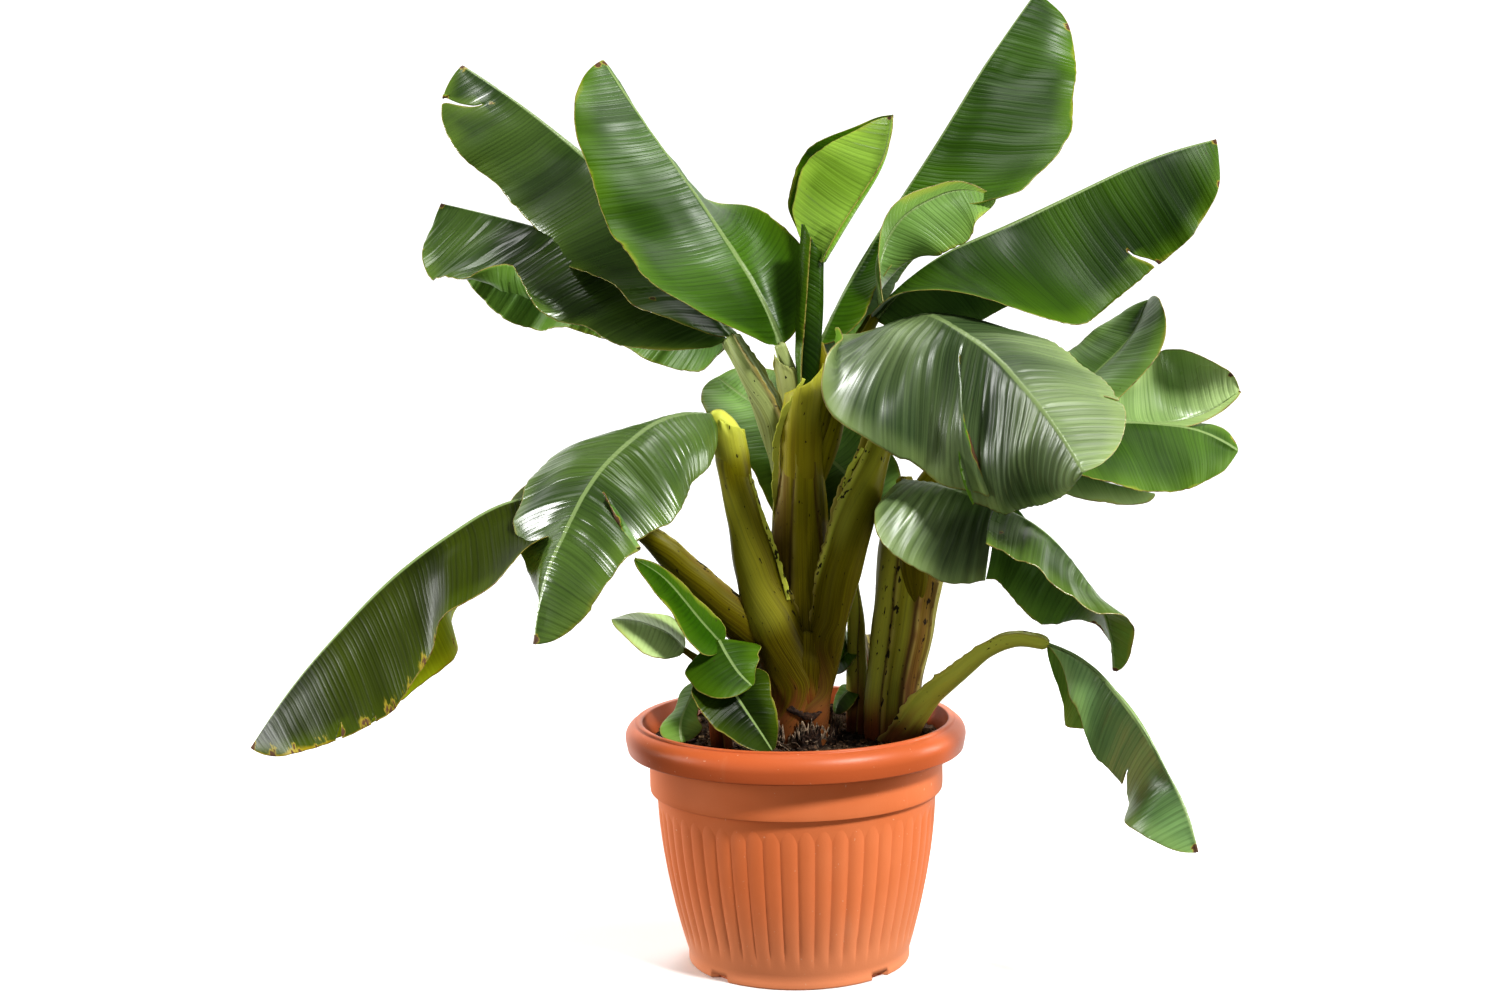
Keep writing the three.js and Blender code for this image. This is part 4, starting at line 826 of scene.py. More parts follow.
SECOND_FRONT = dict(base=[129, -60, 571], length=357, head=[-36, -24, -6], rise=[-3, -20, -53, -89],
                    roll=[0, 11])
LEAVES = {
    "leaf_left_high": dict(
        base=[-9, 10, 724], length=409, head=[157, 157, 150], rise=[67, 56, 52, 54], roll=[-14, 5],
        dry=[(0.99, 0.5, 6, 0.6), (0.99, -0.02, 5, 0.7)],
        left=half([100, 135, 115, 95, 90], [5, -40, -25], [-5, -20]),
        right=half([65, 75, 95, 75, 60], [50, -25, -5], [40, -30])),
    "leaf_left_mid": dict(
        kind="satin", base=[-65, 40, 734], length=543, head=[131, 146, 160], rise=[38, 47, 36, 32],
        roll=[8, -6], tears=[(1, 0.88, 0.95, 0.36, 6, 0)],
        dry=[(0.87, 0.34, 4, 0.9), (0.95, 1, 6, 0.7), (1, 0.5, 8, 0.8), (0.14, 0.7, 4, 0.8)],
        left=half([100, 85, 115, 105, 140], [-15, -75, -30], [5, -20]), right=half(105, -20, -20)),
    "leaf_left_low": dict(
        kind="satin", base=[-72, 55, 729], length=468, head=[132, 152, 163], rise=[36, 27, 15, 13],
        roll=[1, 6], waves=9, pleats=2, crimp=1.2,
        bends=[(-1, 0.3, 0.06, 14), (-1, 0.46, 0.05, -12), (-1, 0.62, 0.06, 14), (-1, 0.82, 0.06, -10),
               (1, 0.75, 0.06, 12)], dry=[(1, 0.2, 7, 0.8), (0.94, 1, 5, 0.6)],
        left=half([100, 115, 145, 160, 190], [-25, -30, -45], [-20, -5], folds=[(0.5, 0.12, 0.82, 130)]),
        right=half([105, 110, 115, 140, 125], [-60, -60, -55], [-35, -30])),
    "leaf_second_back": dict(
        kind="fresh", base=[105, 45, 523], length=291, head=[144, 145, 139], rise=[45, 35, 26, 29],
        roll=[-4, 1], left=half([90, 100, 90, 80, 70], [-45, -15, -15], [-15, 5]),
        right=half(80, [10, 10, 25], [10, 20])),
    "leaf_right_high": dict(
        base=[33, 10, 724], length=557, head=[50, 36, 32], rise=[51, 48, 51, 48], roll=[-16, 6],
        dry=[(1, -0.5, 6, 0.8), (0.95, -1, 6, 0.8), (1, 0.3, 6, 0.7)], left=half(90, -50, -20),
        right=half([75, 55, 40, 148, 148, 128, 135], [-40, -30, -33], [35, -30])),
    "leaf_right_high_lobe": dict(
        kind="fresh", base=[109, -4, 768], length=245, head=[110, 22, 6], rise=[66, 55, 23, -23],
        roll=[19, 11], left=half([4, 12, 20, 14, 6], 80, 0),
        right=half([42, 38, 64, 70, 70], [-42, -36, -20], [-43, -17])),
    "leaf_centre": dict(
        kind="bright", base=[40, -8, 818], length=189, head=[9, 16, 38], rise=[58, 55, 80], roll=[18, 14],
        dry=[(0.99, 0.2, 5, 0.7)], left=half([75, 90, 100, 90, 75], [5, 15, -5], [20, 5]),
        right=half(14, 40, 0)),
    "leaf_centre_inner": dict(
        kind="young", ends=[], base=[42, 0, 822], length=187, head=[9, 16, 38], rise=[58, 55, 80],
        roll=[22, 18], left=half([78, 98, 110, 99, 83], [2, 10, -8], [20, 8]), right=half(6, 40, 0)),
    "leaf_right_mid": dict(
        kind="dark", base=[98, 30, 753], length=502, head=[-9, 25, 21], rise=[49, 21, 22, 12],
        roll=[-5, 7], bulge=2, tears=[(-1, 0.62, 0.66, 0.72, 5, 0)],
        dry=[(1, -0.4, 6, 0.8), (0.95, -1, 6, 0.8), (0.62, -0.74, 3, 0.9), (0.67, -1, 5, 0.8)],
        left=half(105, -50, -30), right=half([125, 146, 145, 130, 130], [-8, -83, -62], [0, -17])),
    "leaf_front_right": dict(
        kind="waxy", ends=["_inner", "_outer"], base=[125, -25, 748], length=363, head=[-61, -55, -47],
        rise=[15, -21, -38, -53], roll=[0, 23], pleats=1.5, crimp=1.6,
        bends=[(-1, 0.3, 0.05, 10), (-1, 0.62, 0.06, -9), (-1, 0.78, 0.05, 8)],
        tears=[(-1, 0.37, 0.46, 0.04, -14, 8), (1, 0.7, 0.72, 0.82, 8, 0)], tear_spread=0.12,
        left=half([75, 90, 110, 120, 115], [0, -10, -10], [-20, 0]),
        right=half([165, 172, 150, 155, 190], [-10, -50, -75], [-10, -30], lean=0.9,
                   folds=[(0.1, 0.07, 0.84, 150)])),
    "leaf_far_right_high": dict(
        kind="fresh", base=[298, 70, 639], length=206, head=[15, 25, 47], rise=[24, 37, 56], roll=[20, 4],
        left=half(70, [10, 10, -5], [-10, -20]), right=half([75, 80, 80, 70, 70], [20, 15, 45], [-30, 5])),
    "leaf_far_right_mid": dict(
        kind="pale", base=[296, 60, 615], length=281, head=[22, 20, 18], rise=[5, -3, 32], roll=[-2, 15],
        dry=[(0.97, 1, 7, 0.8), (1, 0.3, 5, 0.6)],
        left=half([90, 80, 75, 95, 110], [35, 30, 85], [-5, 40]), right=half(16, -10, 0)),
    "leaf_far_right_low": dict(
        kind="lush", base=[245, 20, 608], length=323, head=[19, 19, 16], rise=[13, 2, -7, -32],
        roll=[-7, 3], dry=[(0.98, 1, 6, 0.8)], left=half([40, 30, 25, 40, 65], [-10, -30, 40], [-20, -5]),
        right=half([80, 80, 90, 85, 80], [-35, -55, -55], [-10, -25])),
    "leaf_far_right_scrap": dict(
        kind="pale", base=[242, 26, 604], length=212, head=[16, 15, 14], rise=[-24, -19, -14],
        left=half(20, -20, -10), right=half([36, 37, 37, 30, 28], -50, -10)),
    "leaf_second_front_inner": dict(
        SECOND_FRONT, kind="waxy", end=0.34, pleats=1.2, crimp=3,
        left=half([80, 80, 80, 80, 95], [-5, 15, 45], [-80, -50]),
        right=half([170, 105, 80, 80, 90], [-5, -110, -50], [-25, -45], sweep=0.1)),
    "leaf_second_front_outer": dict(
        SECOND_FRONT, kind="satin", start=0.335, waves=6, pleats=1.8,
        bends=[(-1, 0.5, 0.05, 8), (-1, 0.68, 0.05, -8), (1, 0.46, 0.05, 6), (1, 0.62, 0.05, -6)],
        dry=[(0.38, -0.6, 4, 0.6), (0.84, 1, 12, 0.9), (0.88, 1, 9, 1.0), (1, 0, 6, 0.8)],
        left=half([115, 100, 80, 90, 105], [-85, -75, 5], [-85, -5]),
        right=half([65, 80, 85, 65, 40], [-5, -15, 45], [-5, 35])),
    "leaf_low_right": dict(
        kind="sage", base=[281, -120, 393], length=294, head=[-36, -43, -37], rise=[-12, -43, -57, -74],
        roll=[13, 21], waves=6, tears=[(-1, 0.54, 0.56, 0.74, 9, 0)], dry=[(0.99, 0, 7, 0.9)],
        left=half([66, 86, 28, 50, 55], [-80, -86, -60, -60, -60], -20),
        right=half([14, 46, 90, 85, 65], [-50, -85, -30], [-5, -15])),
    "leaf_front_left": dict(
        kind="satin", ends=["_inner", "_outer"], base=[-88, -45, 649], length=391,
        head=[-135, -132, -146], rise=[7, -28, -56, -81], roll=[-3, 3], waves=8, pleats=1, crimp=0.8,
        bends=[(1, 0.42, 0.05, -8), (1, 0.62, 0.05, 8), (-1, 0.3, 0.07, 8), (-1, 0.5, 0.05, -6)],
        tears=[(1, 0.52, 0.57, 0.12, -9, 5)], dry=[(0.99, 0, 9, 0.9), (0.78, 0.66, 5, 0.4)],
        left=half([85, 85, 105, 80, 75], [-35, -15, -30], [-45, -20]),
        right=half([85, 100, 115, 105, 90], [-20, 5, -30], [-20, -10])),
    "leaf_low_left": dict(
        kind="old", ends=["_inner", "_outer"], base=[-218, -55, 544], length=511, head=[-169, -168, -171],
        rise=[21, -32, -46, -56], roll=[-7, 0], pleats=0.3, crimp=0.1,
        bends=[(-1, 0.38, 0.05, 16), (1, 0.37, 0.06, 18), (-1, 0.2, 0.08, -10)],
        tears=[(1, 0.77, 0.79, 0.82, 7, 0), (1, 0.68, 0.69, 0.9, 5, 0)],
        dry=[(0.97, 1, 11, 0.9), (0.78, 1, 6, 0.9), (0.44, -0.9, 16, 0.42), (1, 0, 9, 0.9),
             (0.44, 1, 12, 0.45), (0.5, 1, 14, 0.42), (0.57, 1, 12, 0.42), (0.64, 1, 15, 0.42),
             (0.71, 1, 14, 0.42), (0.85, 1, 16, 0.42), (0.91, 1, 16, 0.42), (0.41, -0.6, 9, 0.42)],
        left=half([150, 125, 100, 120, 110], [-25, -55, -30], [40, -25]),
        right=half([115, 142, 142, 115, 85], [-15, -70, -70], [40, -40])),
    "sucker_leaf_outer": dict(
        kind="pale", base=[-125, -60, 379], length=97, head=[-160, -165, -168], rise=[54, 24, 0],
        roll=[-10, -5], left=half([35, 40, 43, 40, 34], [-25, -30, -20], -15),
        right=half([35, 40, 35, 30, 25], [15, 5, -5], [15, -5])),
    "sucker_leaf_folded": dict(
        kind="young", base=[-82, -70, 386], length=145, head=[-159, -163, -169], rise=[49, 53, 30],
        roll=[-13, -8], left=half([50, 45, 45, 45, 40], [-20, -15, -5], [-15, -10]),
        right=half([30, 20, 15, 12, 10], [60, 50, 50], 0)),
    "sucker_leaf_front": dict(
        kind="dark", base=[-85, -78, 394], length=70, head=[-56, -48, -20], rise=[-46, -43, -39], roll=2,
        left=half([33, 50, 37, 28, 28], [5, 15, 10], -20), right=half([41, 52, 51, 47, 43], -25, -20)),
    "sucker_leaf_rim": dict(
        kind="fresh", base=[-108, -70, 346], length=78, head=[-125, -137, -64], rise=[-43, -56, -70],
        left=half([15, 10, 18, 27, 35], -18, 0), right=half(27, -17, 0)),
    "sucker_leaf_low": dict(
        kind="deep", base=[-94, -75, 356], length=119, head=[-45, -38, -30], rise=[-22, -48, -53],
        left=half([50, 63, 52, 48, 43], [5, 0, -10], [5, -10]),
        right=half([53, 47, 46, 37, 33], [-15, -25, -20], 0)),
    "leaf_back_high": dict(
        base=[72, 114, 714], length=330, head=[58, 68, 72], rise=[25, 2, -25, -50], roll=[0, 5],
        left=half([85, 90, 88, 80, 75], -25, -25), right=half([85, 92, 90, 84, 78], -20, -30)),
    "leaf_back_low": dict(
        base=[95, 238, 290], length=268, head=[90, 96], rise=[-58, -80],
        left=half([60, 66, 70, 62, 55], -20, -25), right=half([60, 64, 66, 62, 52], -25, -25)),
    "back_leaf_upright": dict(
        base=[72, 50, 332], length=76, head=[147, 155], rise=[75, 70, 77],
        left=half([17, 20, 22, 17, 15], -20, 0), right=half([14, 15, 18, 20, 16], -15, 0)),
    "back_leaf_middle": dict(
        base=[75, 46, 357], length=42, head=[-167, -180], rise=[-5, -48, -80],
        left=half([16, 18, 22, 22, 20], -23, 0), right=half([13, 18, 19, 15, 12], 14, 0)),
    "back_leaf_low": dict(
        base=[76, 44, 309], length=45, head=[-156, -168], rise=[12, -47, -85],
        left=half([16, 18, 22, 22, 20], -22, 0), right=half([17, 20, 15, 11, 12], 11, 0)),
}
RIB_STEPS = 120
FOLD_STEPS = 32
ROW_STEP = 2.1               # from one row of a leaf's points to the next
CRIMP_GAP = 11               # from one sharp pleat to the next
LAP_OPENS = -10              # a tear whose banks lap by more than this has no faces between them
TEAR_SPREAD = 0.05           # share of the leaf's length over which a tear bends the veins beside it
FAR = 1e3


def rib_direction(leaf, t):
    head = np.radians(keyed(leaf["head"], t))
    rise = np.radians(keyed(leaf["rise"], t))
    return np.stack([np.cos(rise) * np.cos(head), np.cos(rise) * np.sin(head), np.sin(rise)], -1)


def rib_line(leaf):
    """Points of the midrib, walked from its foot by heading and rise."""
    middle = (np.arange(RIB_STEPS) + 0.5) / RIB_STEPS
    steps = rib_direction(leaf, middle) * leaf["length"] / RIB_STEPS
    return np.vstack([leaf["base"], np.asarray(leaf["base"]) + np.cumsum(steps, 0)])


def rib_frame(leaf, t):
    """The leaf's left and its upper side at t, turned by its roll."""
    along = rib_direction(leaf, t)
    head = np.radians(keyed(leaf["head"], t))
    left = np.stack([-np.sin(head), np.cos(head), 0 * head], -1)
    up = np.cross(along, left)
    roll = np.radians(keyed(leaf.get("roll", 0), t))[..., None]
    return np.cos(roll) * left + np.sin(roll) * up, np.cos(roll) * up - np.sin(roll) * left


def round_ends(y):
    """1 along a leaf, rounded down to 0 at its foot and its tip."""
    foot = np.clip(1 - y / 0.3, 0, 1)
    tip = np.clip((y - 0.6) / 0.4, 0, 1)
    return np.sqrt(np.maximum(0, 1 - foot**2.2)) * np.sqrt(np.maximum(0, 1 - tip**2.4))


def bent(side, s, u):
    """Sums of the unit steps across and up of a half that opens, bends on and folds over, up to u.

    A fold holds its place along the leaf, its span, its place across and the degrees that it turns.
    """
    out = u[..., None] * (np.arange(FOLD_STEPS) + 0.5) / FOLD_STEPS
    angle = keyed(side["opening"], s)[..., None] + keyed(side["curl"], s)[..., None] * out
    for middle, span, beyond, turn in side.get("folds", []):
        beside = bell((s - middle) / span, 1)[..., None]
        angle = angle + turn * beside * smooth(beyond - 0.05, beyond + 0.07, out)
    angle = np.radians(angle)
    return np.cos(angle).mean(-1) * u, np.sin(angle).mean(-1) * u


def half_blade(leaf, line, s, u, sign, short, seed):
    """Points of one half at s along the leaf and u across it, and its width there, less short."""
    side = leaf["left"] if sign > 0 else leaf["right"]
    vein_end = s + side.get("sweep", VEIN_SWEEP) * s * (1 - s)
    y = s + (vein_end - s) * u**1.5
    width = np.maximum(keyed(side["width"], vein_end) * round_ends(vein_end), MIN_HALF_WIDTH)
    walk = vein_end * leaf["length"]
    ragged = ripple(walk / 7, seed + 1) * 0.6
    nicks = np.maximum(0, ripple(walk / 16, seed + 2) - 0.75) * 9
    scallop = 1.5 * ripple(walk / 45, seed + 9)
    width = width + (ragged - nicks + scallop) * u**8 * np.minimum(1, width / 40)
    width = np.maximum(width - short, MIN_HALF_WIDTH)
    across, up = bent(side, s, u)
    left, above = rib_frame(leaf, y)
    points = on_line(line, y) + (sign * width * across)[..., None] * left + (width * up)[..., None] * above
    return points, width


def torn(leaf, s, u):
    """The leaf's grid of places along it, opened at its tears, with the faces left out, lifts and slits.

    A tear holds its side, its place along the leaf at its inner end and at the margin, its place across,
    the width of its mouth, below 0 where its banks lap, and how high the bank nearer the foot lies.
    """
    skip = np.zeros(s.shape, bool)
    lift, slit, short = np.zeros((3, *s.shape))
    torn_edge = np.full(s.shape, FAR)
    for side, inner, outer, start, mouth, over in leaf.get("tears", []):
        row = int(np.abs(s[:, 0] - inner).argmin())
        on_side = (u >= 0) == (side > 0)
        beyond = smooth(start, 1, np.abs(u)) * on_side
        off = s - s[row, 0]
        near = bell(off, leaf.get("tear_spread", TEAR_SPREAD))
        before = np.arange(len(s))[:, None] <= row
        gape = 0.5 * mouth / leaf["length"] * beyond
        s = s + near * ((outer - inner) * beyond + np.where(before, -gape, gape))
        lift = lift + over * beyond * bell(off, 0.03) * np.where(before, 1, 0)
        if mouth > 0:
            skip[row] |= (np.abs(u[row]) > start) & on_side[row]
        elif mouth < LAP_OPENS:
            skip[row] |= beyond[row] > 0.5
        if over:
            # The slit is painted shade of the gap between the lapped banks, in a dry edge's colour
            slit = np.maximum(slit, (beyond > 0.05) * bell(off * leaf["length"], 1.1))
            short = short + 2.5 * over * bell(off, 0.07) * before * on_side
        else:
            torn_edge = np.minimum(torn_edge, np.where(beyond > 0, np.abs(off) * leaf["length"], FAR))
    return s, skip, lift, torn_edge, slit, short


def relief_of(leaf, s, along, u, out, is_left, seed):
    """How far a leaf's pleats, crimps, waves and bends stand above its even blade."""
    size = min(1.0, leaf["length"] / 300)
    shape = np.minimum(1, u / 0.12) * (1 - 0.35 * u)
    relief = leaf.get("pleats", 0.7) * size * shape * (
        0.6 * ripple(along / 7, seed + 4) + ripple(along / 16, seed + 5))
    fold = np.abs(2 * ((along / CRIMP_GAP + 0.4 * ripple(along / 50, seed + 8)) % 1) - 1)
    uneven = 1 + 0.5 * ripple(along / 18, seed + 10)
    relief += leaf.get("crimp", 0.2) * size * shape * (fold - 0.5) * uneven
    waves = leaf.get("waves", 3.6) * size * u**2 * ripple(along / 36 + 5 * is_left, seed + 6)
    waves += leaf.get("bulge", 4.5) * size * patches(along / 62 + 9, out / 46 + 5 * is_left, seed + 7)
    for side, middle, span, height in leaf.get("bends", []):
        waves += height * smooth(0.0, 0.45, u) * (is_left == (side > 0)) * bell(s - middle, span)
    return relief + waves * np.minimum(1, u / 0.2)


def blade(name, leaf, number):
    """A fine leaf in place of its solids."""
    seed = SEED + 17 * number
    length = leaf["length"]
    start, end = leaf.get("start", 0.0), leaf.get("end", 1.0)
    rows = int(np.clip(length * (end - start) / ROW_STEP, 28, 250))
    t = np.linspace(0, 1, rows)
    s = start + (end - start) * t
    if end == 1.0:
        s = s + 0.25 * (1 - start) * t * (1 - t) * t
    steps = np.r_[0, 0.02, 0.045, 0.08, np.linspace(0.13, 0.95, 15), 0.98, 1]
    signed_u = np.repeat(np.r_[-steps[:0:-1], steps][None, :], rows, 0)
    columns = signed_u.shape[1]
    is_left = signed_u[:1] >= 0
    u = np.abs(signed_u)
    places, skip, lift, torn_edge, slit, short = torn(leaf, np.repeat(s[:, None], columns, 1), signed_u)
    places = np.clip(places, 0, 1)
    along = places * length
    lean = np.where(is_left, leaf["left"].get("lean", 0), leaf["right"].get("lean", 0))
    places = places + lean * places * (1 - places) * u
    line = rib_line(leaf)
    right, right_width = half_blade(leaf, line, places, u, -1, short, seed)
    left, left_width = half_blade(leaf, line, places, u, 1, short, seed + 3)
    points = np.where(is_left[..., None], left, right)
    width = np.where(is_left, left_width, right_width)
    normal = unit(np.cross(np.gradient(points, axis=0), np.gradient(points, axis=1)))
    out = u * width
    push = relief_of(leaf, places, along, u, out, is_left, seed) * np.minimum(1, width / 40) + lift
    points = points + push[..., None] * normal
    rib_half = (1.3 + 0.009 * length * (1 - 0.86 * places)) * np.minimum(1, width / 12)
    off = out / rib_half
    keel = 1.1 * rib_half * np.sqrt(np.maximum(0, 1 - off**2))
    groove = 0.22 * rib_half * (bell(off - 0.9, 0.35) - bell(off, 0.5))
    thick = BLADE / 2 * np.minimum(1, 0.55 + (1 - u) * 8)
    edge = np.minimum((1 - u) * width, torn_edge)
    # Slits of lapped tears are drawn as dry lines: painted shade of the gap between banks
    dry = 0.9 * slit
    for spot_s, spot_u, spot_size, strength in leaf.get("dry", []):
        nearest = width[np.abs(s - spot_s).argmin(), -1 if spot_u > 0 else 0]
        apart = np.hypot((places - spot_s) * length, signed_u * width - spot_u * nearest)
        dry = np.maximum(dry, strength * bell(apart, spot_size))
    return sheet(
        name + "_blade", points + (thick + groove)[..., None] * normal,
        points - (thick + keel)[..., None] * normal, grid_faces(rows, columns, skip=skip),
        LEAF_SKINS[leaf.get("kind", "mid")], [name + part for part in leaf.get("ends", [""])], "leaf",
        leaf_place=np.stack([along, out * np.where(is_left, 1, -1), 0 * out + 137 * number], -1) * MM,
        leaf_marks=np.stack([edge * MM, off, dry], -1))


# Pot and soil

def body_radius(z):
    t = (z - FOOT_HEIGHT) / (COLLAR_Z - FOOT_HEIGHT)
    return BODY_TOP_RADIUS - (BODY_TOP_RADIUS - FOOT_RADIUS) * (1 - np.clip(t, 0, 1))**1.8


def arc(x, z, radius, start, stop, count=4):
    """Points on a circle in the profile's plane, by angle in degrees."""
    a = np.radians(np.linspace(start, stop, count))
    return [(x + radius * math.cos(k), z + radius * math.sin(k)) for k in a]


def pot_profile():
    """Radius and height of the pot's skin, from the underside up over the rim and down inside."""
    inner = body_radius(np.array([135, 60])) - WALL - FLUTE_DEPTH
    return np.array([
        (0, 3), (FOOT_RADIUS - 9, 3), (FOOT_RADIUS - 8, 0), (FOOT_RADIUS - 2, 0),
        *arc(FOOT_RADIUS - 2, 2, 2, -90, 0),
        (FOOT_RADIUS, NOTCH["height"] - 0.2), (FOOT_RADIUS, NOTCH["height"] + 0.2),
        *[(body_radius(z), z) for z in np.linspace(FOOT_HEIGHT, COLLAR_Z - 3, 33)],
        *[(body_radius(z), z) for z in (COLLAR_Z - 1.2, COLLAR_Z - 0.8, COLLAR_Z - 0.5)],
        (COLLAR_RADIUS - 1.5, COLLAR_Z - 0.4),
        *arc(COLLAR_RADIUS - 1.5, COLLAR_Z + 1.2, 1.5, -90, 0),
        *[(COLLAR_RADIUS + 0.5, z) for z in np.linspace(COLLAR_Z + 6, LIP_Z - 4, 5)],
        (COLLAR_RADIUS + 1.5, LIP_Z - 1), (RIM_RADIUS - 6, LIP_Z),
        *arc(RIM_RADIUS - 5.5, LIP_Z + 3, 3, -80, -10),
        *arc(RIM_RADIUS - 17, POT_HEIGHT - 18, 17, -12, 78, 10),
        (RIM_RADIUS - 12, POT_HEIGHT), (MOUTH_RADIUS + 1, POT_HEIGHT),
        *arc(MOUTH_RADIUS + 1, POT_HEIGHT - 1.5, 1.5, 90, 180),
        (MOUTH_RADIUS - 2, POT_HEIGHT - 8), (COLLAR_RADIUS - WALL + 1, LIP_Z + 10),
        (COLLAR_RADIUS - WALL, COLLAR_Z + 8), (inner[0], 135), (inner[1], 60),
        (FOOT_RADIUS - 8, 22), (0, 22)])


def pot():
    """The pot, with flutes between its foot and its collar, and notches in its foot."""
    profile = pot_profile()
    phase = np.tile(FLUTE_STEPS, FLUTES)
    sides = len(phase)
    angle = (np.repeat(np.arange(FLUTES), len(FLUTE_STEPS)) + 0.5 + phase) * 2 * np.pi / FLUTES
    radius, z = (np.repeat(profile[:, k:k + 1], sides, 1) for k in (0, 1))
    outer = np.arange(len(profile)) < np.argmax(profile[:, 0] > COLLAR_RADIUS - 2)
    fluted = outer[:, None] * smooth(FLUTE_START_Z, FLUTE_START_Z + 26, z)
    radius = radius - FLUTE_DEPTH * fluted * (np.abs(2 * phase)**2.2)[None, :]
    step = 2 * np.pi / NOTCH["count"]
    off = np.abs((angle - np.pi / 4 + step / 2) % step - step / 2) * FOOT_RADIUS
    cut = (z < NOTCH["height"]) & (radius > FOOT_RADIUS - 10) & (off < NOTCH["width"] / 2)[None, :]
    radius = np.where(cut, np.minimum(radius, FOOT_RADIUS - NOTCH["depth"]), radius)
    points = np.stack([radius * np.cos(angle), radius * np.sin(angle), z], -1)[1:-1].reshape(-1, 3)
    rows = len(profile) - 2
    faces = grid_faces(rows, sides, closed=True, flip=True)
    low, high, last = len(points), len(points) + 1, (rows - 1) * sides
    for k in range(sides):
        n = (k + 1) % sides
        faces.append((low, n, k))
        faces.append((high, last + k, last + n))
    points = np.vstack([points, [[0, 0, profile[0, 1]], [0, 0, profile[-1, 1]]]])
    return piece("pot_fluted", points, faces, [pot_material()], ["pot"], "pot")


def soil_height(radius):
    return SOIL_Z + SOIL_BANK * smooth(115, 160, radius)


def soil():
    """Lumpy surface of the soil, closed below."""
    rings, sides = 70, 220
    radius = np.linspace(0.5, COLLAR_RADIUS - WALL - 0.6, rings)[:, None]
    angle = np.linspace(0, 2 * np.pi, sides, endpoint=False)[None, :]
    x, y = radius * np.cos(angle), radius * np.sin(angle)
    z = soil_height(radius)
    for k, (size, start, height) in enumerate(((22, 40, 2.6), (7, 40, 1.8), (2.6, 200, 1.1))):
        z = z + height * patches(x / size + start, y / size + start, SEED + k)
    top = np.stack([x, y, z], -1)
    under = np.stack([x, y, 0 * z + SOIL_Z - 14], -1)
    faces = grid_faces(rings, sides, closed=True) + [tuple(range(sides))]
    earth = earth_material("soil_earth", (0.02, 0.011, 0.006), (0.085, 0.048, 0.026), 110.0)
    return sheet("soil_surface", top, under, faces, [earth], ["soil"], "soil")


CHIPS = 2600


def chips():
    """Bark chips and crumbs strewn on the soil, joined into one piece."""
    rng = np.random.RandomState(SEED)
    cube = np.array([[x, y, z] for x in (-1, 1) for y in (-1, 1) for z in (-1, 1)], float)
    sides = [(0, 1, 3, 2), (4, 6, 7, 5), (0, 4, 5, 1), (2, 3, 7, 6), (0, 2, 6, 4), (1, 5, 7, 3)]
    kinds = [earth_material("crumb_dark", (0.02, 0.011, 0.007), (0.07, 0.04, 0.022), 200.0),
             earth_material("crumb_brown", (0.06, 0.032, 0.015), (0.19, 0.11, 0.06), 200.0),
             earth_material("crumb_pale", (0.2, 0.13, 0.07), (0.42, 0.31, 0.2), 200.0)]
    parts, kind = [], []
    for _ in range(CHIPS):
        r = (COLLAR_RADIUS - WALL - 5) * math.sqrt(rng.uniform())
        a = rng.uniform(0, 2 * math.pi)
        size = rng.uniform(0.8, 2.4) * (2.3 if rng.uniform() > 0.92 else 1.0)
        box = cube * rng.uniform(0.35, 1.0, 3) * size * np.array([1.6, 1, 0.6])
        box = box + rng.uniform(-0.25, 0.25, box.shape) * size
        spin = Matrix.Rotation(rng.uniform(0, 6.28), 3, "Z")
        box = box @ np.array(spin @ Matrix.Rotation(rng.uniform(-0.7, 0.7), 3, "X")).T
        box = box + (r * math.cos(a), r * math.sin(a), soil_height(r) + rng.uniform(-0.5, 3.5))
        kind += [int(rng.choice(3, p=[0.5, 0.36, 0.14]))] * 6
        parts.append((box, sides))
    made = piece("soil_chips", *join(parts), kinds, (), "soil", kind)
    made.data.polygons.foreach_set("use_smooth", np.zeros(len(made.data.polygons), bool))
    return made


# Studio: places in metres, a sun's spread in degrees and a soft box's spread in metres

LAMPS = {
    "key": dict(kind="SUN", place=(1.5, -1.4, 2.5), spread=10, power=3.3),
    "back": dict(kind="SUN", place=(0.2, 1.5, 2.2), spread=30, power=1.6, glossy=False),
    "top": dict(kind="AREA", place=(0.2, 0.1, 2.6), spread=0.7, power=8),
    "left": dict(kind="AREA", place=(-2.4, -0.1, 0.8), spread=0.8, power=46),
    "right": dict(kind="AREA", place=(2.4, 0.1, 0.9), spread=0.9, power=30),
    "front": dict(kind="AREA", place=(-1.3, -2.2, 0.3), spread=1.2, power=16, glossy=False),
    "low": dict(kind="AREA", place=(1.5, -2.0, 0.25), spread=0.9, power=11, glossy=False),
}
AIM = Vector((0.05, 0, 0.62))
FLOOR_HALF = 40.0
CAMERA = dict(place=(0, -2.41, 0.802), pitch=6.07, yaw=1.17, roll=-1.13, lens=50, sensor=36)


def backdrop():
    """Plain white to look at. Its light comes from behind the plant and is dim on the other sides."""
    g = Graph(bpy.data.worlds.new("studio"))
    toward = g.add("SeparateXYZ", Vector=g.add("TexCoord").outputs["Generated"]).outputs["Y"]
    seen = g.add("LightPath").outputs["Is Camera Ray"]
    strength = g.math("MAXIMUM", g.spread(toward, 0.4, 0.8, 0.06, 1.05), seen)
    light = g.add("Background", Color=(1, 1, 1), Strength=strength)
    g.tree.links.new(light.outputs[0], g.add("OutputWorld").inputs[0])
    return g.owner


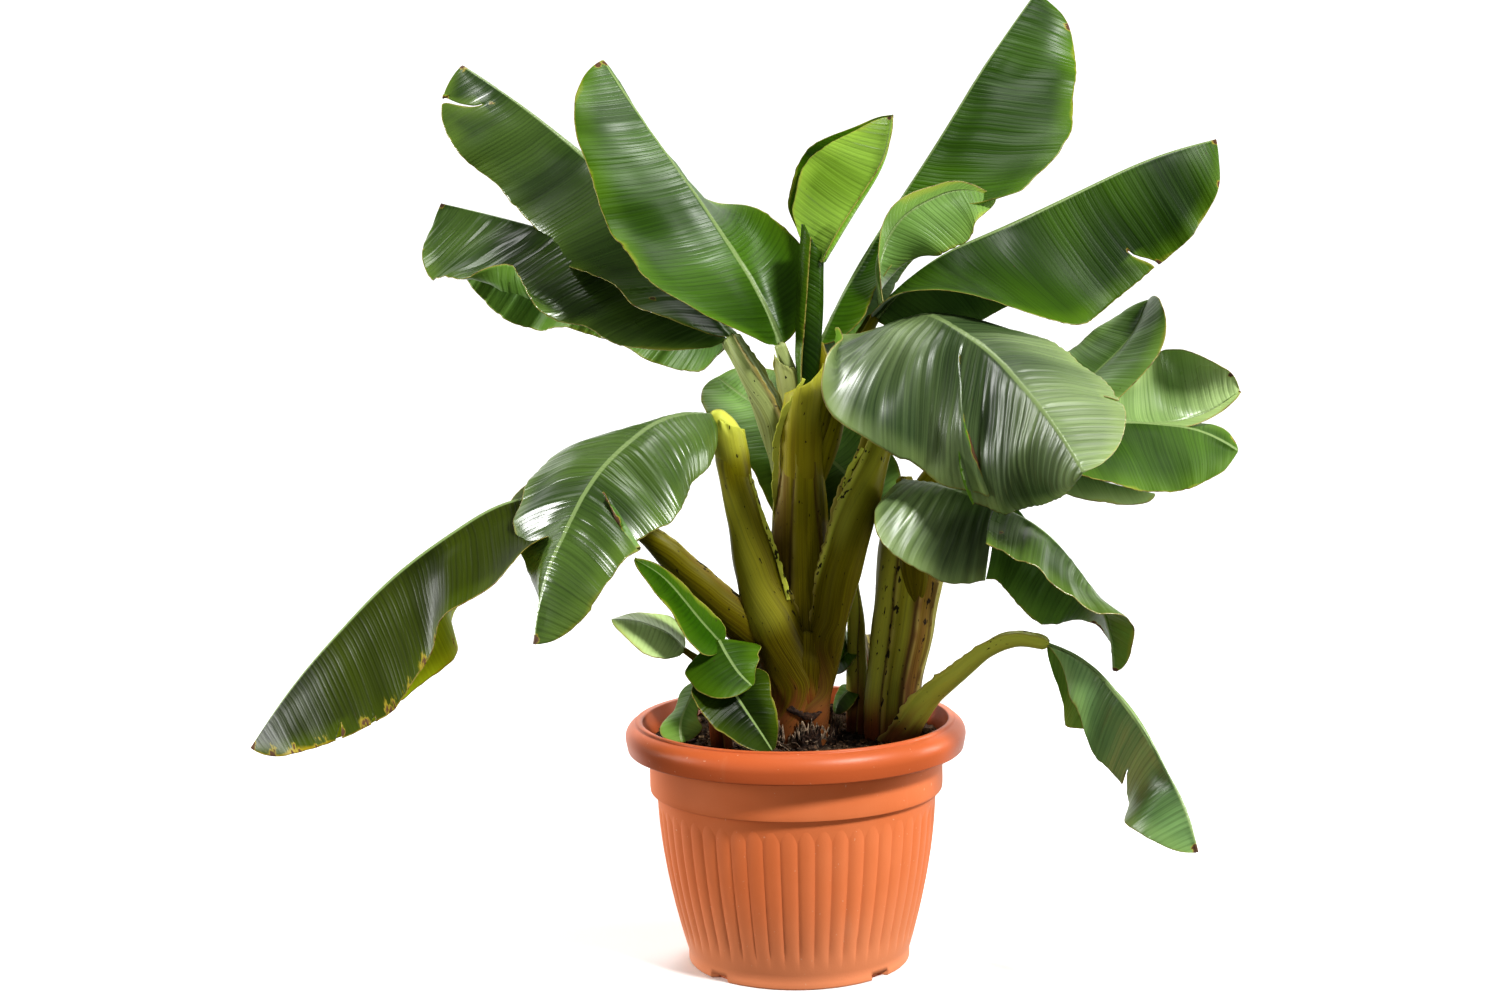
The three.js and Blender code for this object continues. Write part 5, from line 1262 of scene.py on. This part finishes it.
def studio():
    corners = [(x * FLOOR_HALF, y * FLOOR_HALF, 0) for x, y in ((-1, -1), (1, -1), (1, 1), (-1, 1))]
    mesh = bpy.data.meshes.new("floor")
    mesh.from_pydata(corners, [], [(0, 1, 2, 3)])
    mesh.materials.append(floor_material())
    floor = bpy.data.objects.new("floor", mesh)
    bpy.context.scene.collection.objects.link(floor)
    floor.visible_diffuse = False
    floor.visible_glossy = False
    bpy.context.scene.world = backdrop()
    for name, lamp in LAMPS.items():
        light = bpy.data.lights.new(name, lamp["kind"])
        light.energy = lamp["power"]
        if lamp["kind"] == "SUN":
            light.angle = math.radians(lamp["spread"])
        else:
            light.size = lamp["spread"]
        made = bpy.data.objects.new(name, light)
        made.location = lamp["place"]
        made.visible_glossy = lamp.get("glossy", True)
        made.rotation_mode = "QUATERNION"
        made.rotation_quaternion = (AIM - Vector(lamp["place"])).to_track_quat("-Z", "Y")
        bpy.context.scene.collection.objects.link(made)


def camera():
    """The photograph's view, in front of the pot and looking a little down."""
    pitch, yaw, roll = (math.radians(CAMERA[key]) for key in ("pitch", "yaw", "roll"))
    forward = Vector((-math.sin(yaw) * math.cos(pitch), math.cos(yaw) * math.cos(pitch), -math.sin(pitch)))
    level = Vector((math.cos(yaw), math.sin(yaw), 0))
    upright = level.cross(forward)
    right = math.cos(roll) * level + math.sin(roll) * upright
    up = math.cos(roll) * upright - math.sin(roll) * level
    lens = bpy.data.cameras.new("camera")
    lens.lens = CAMERA["lens"]
    lens.sensor_width = CAMERA["sensor"]
    made = bpy.data.objects.new("camera", lens)
    turn = Matrix((right, up, -forward)).transposed().to_4x4()
    made.matrix_world = Matrix.Translation(CAMERA["place"]) @ turn
    bpy.context.scene.collection.objects.link(made)
    bpy.context.scene.camera = made


studio()
camera()
pot()
soil()
chips()
rolled_leaf()
dry_scales()
torn_edges()
ruffles()
for make, specs in ((limb, LIMBS), (bract, BRACTS), (blade, LEAVES)):
    for number, (name, spec) in enumerate(specs.items()):
        make(name, spec, number)

view = bpy.context.scene.view_settings
view.view_transform = "Standard"
view.look = "Medium High Contrast"
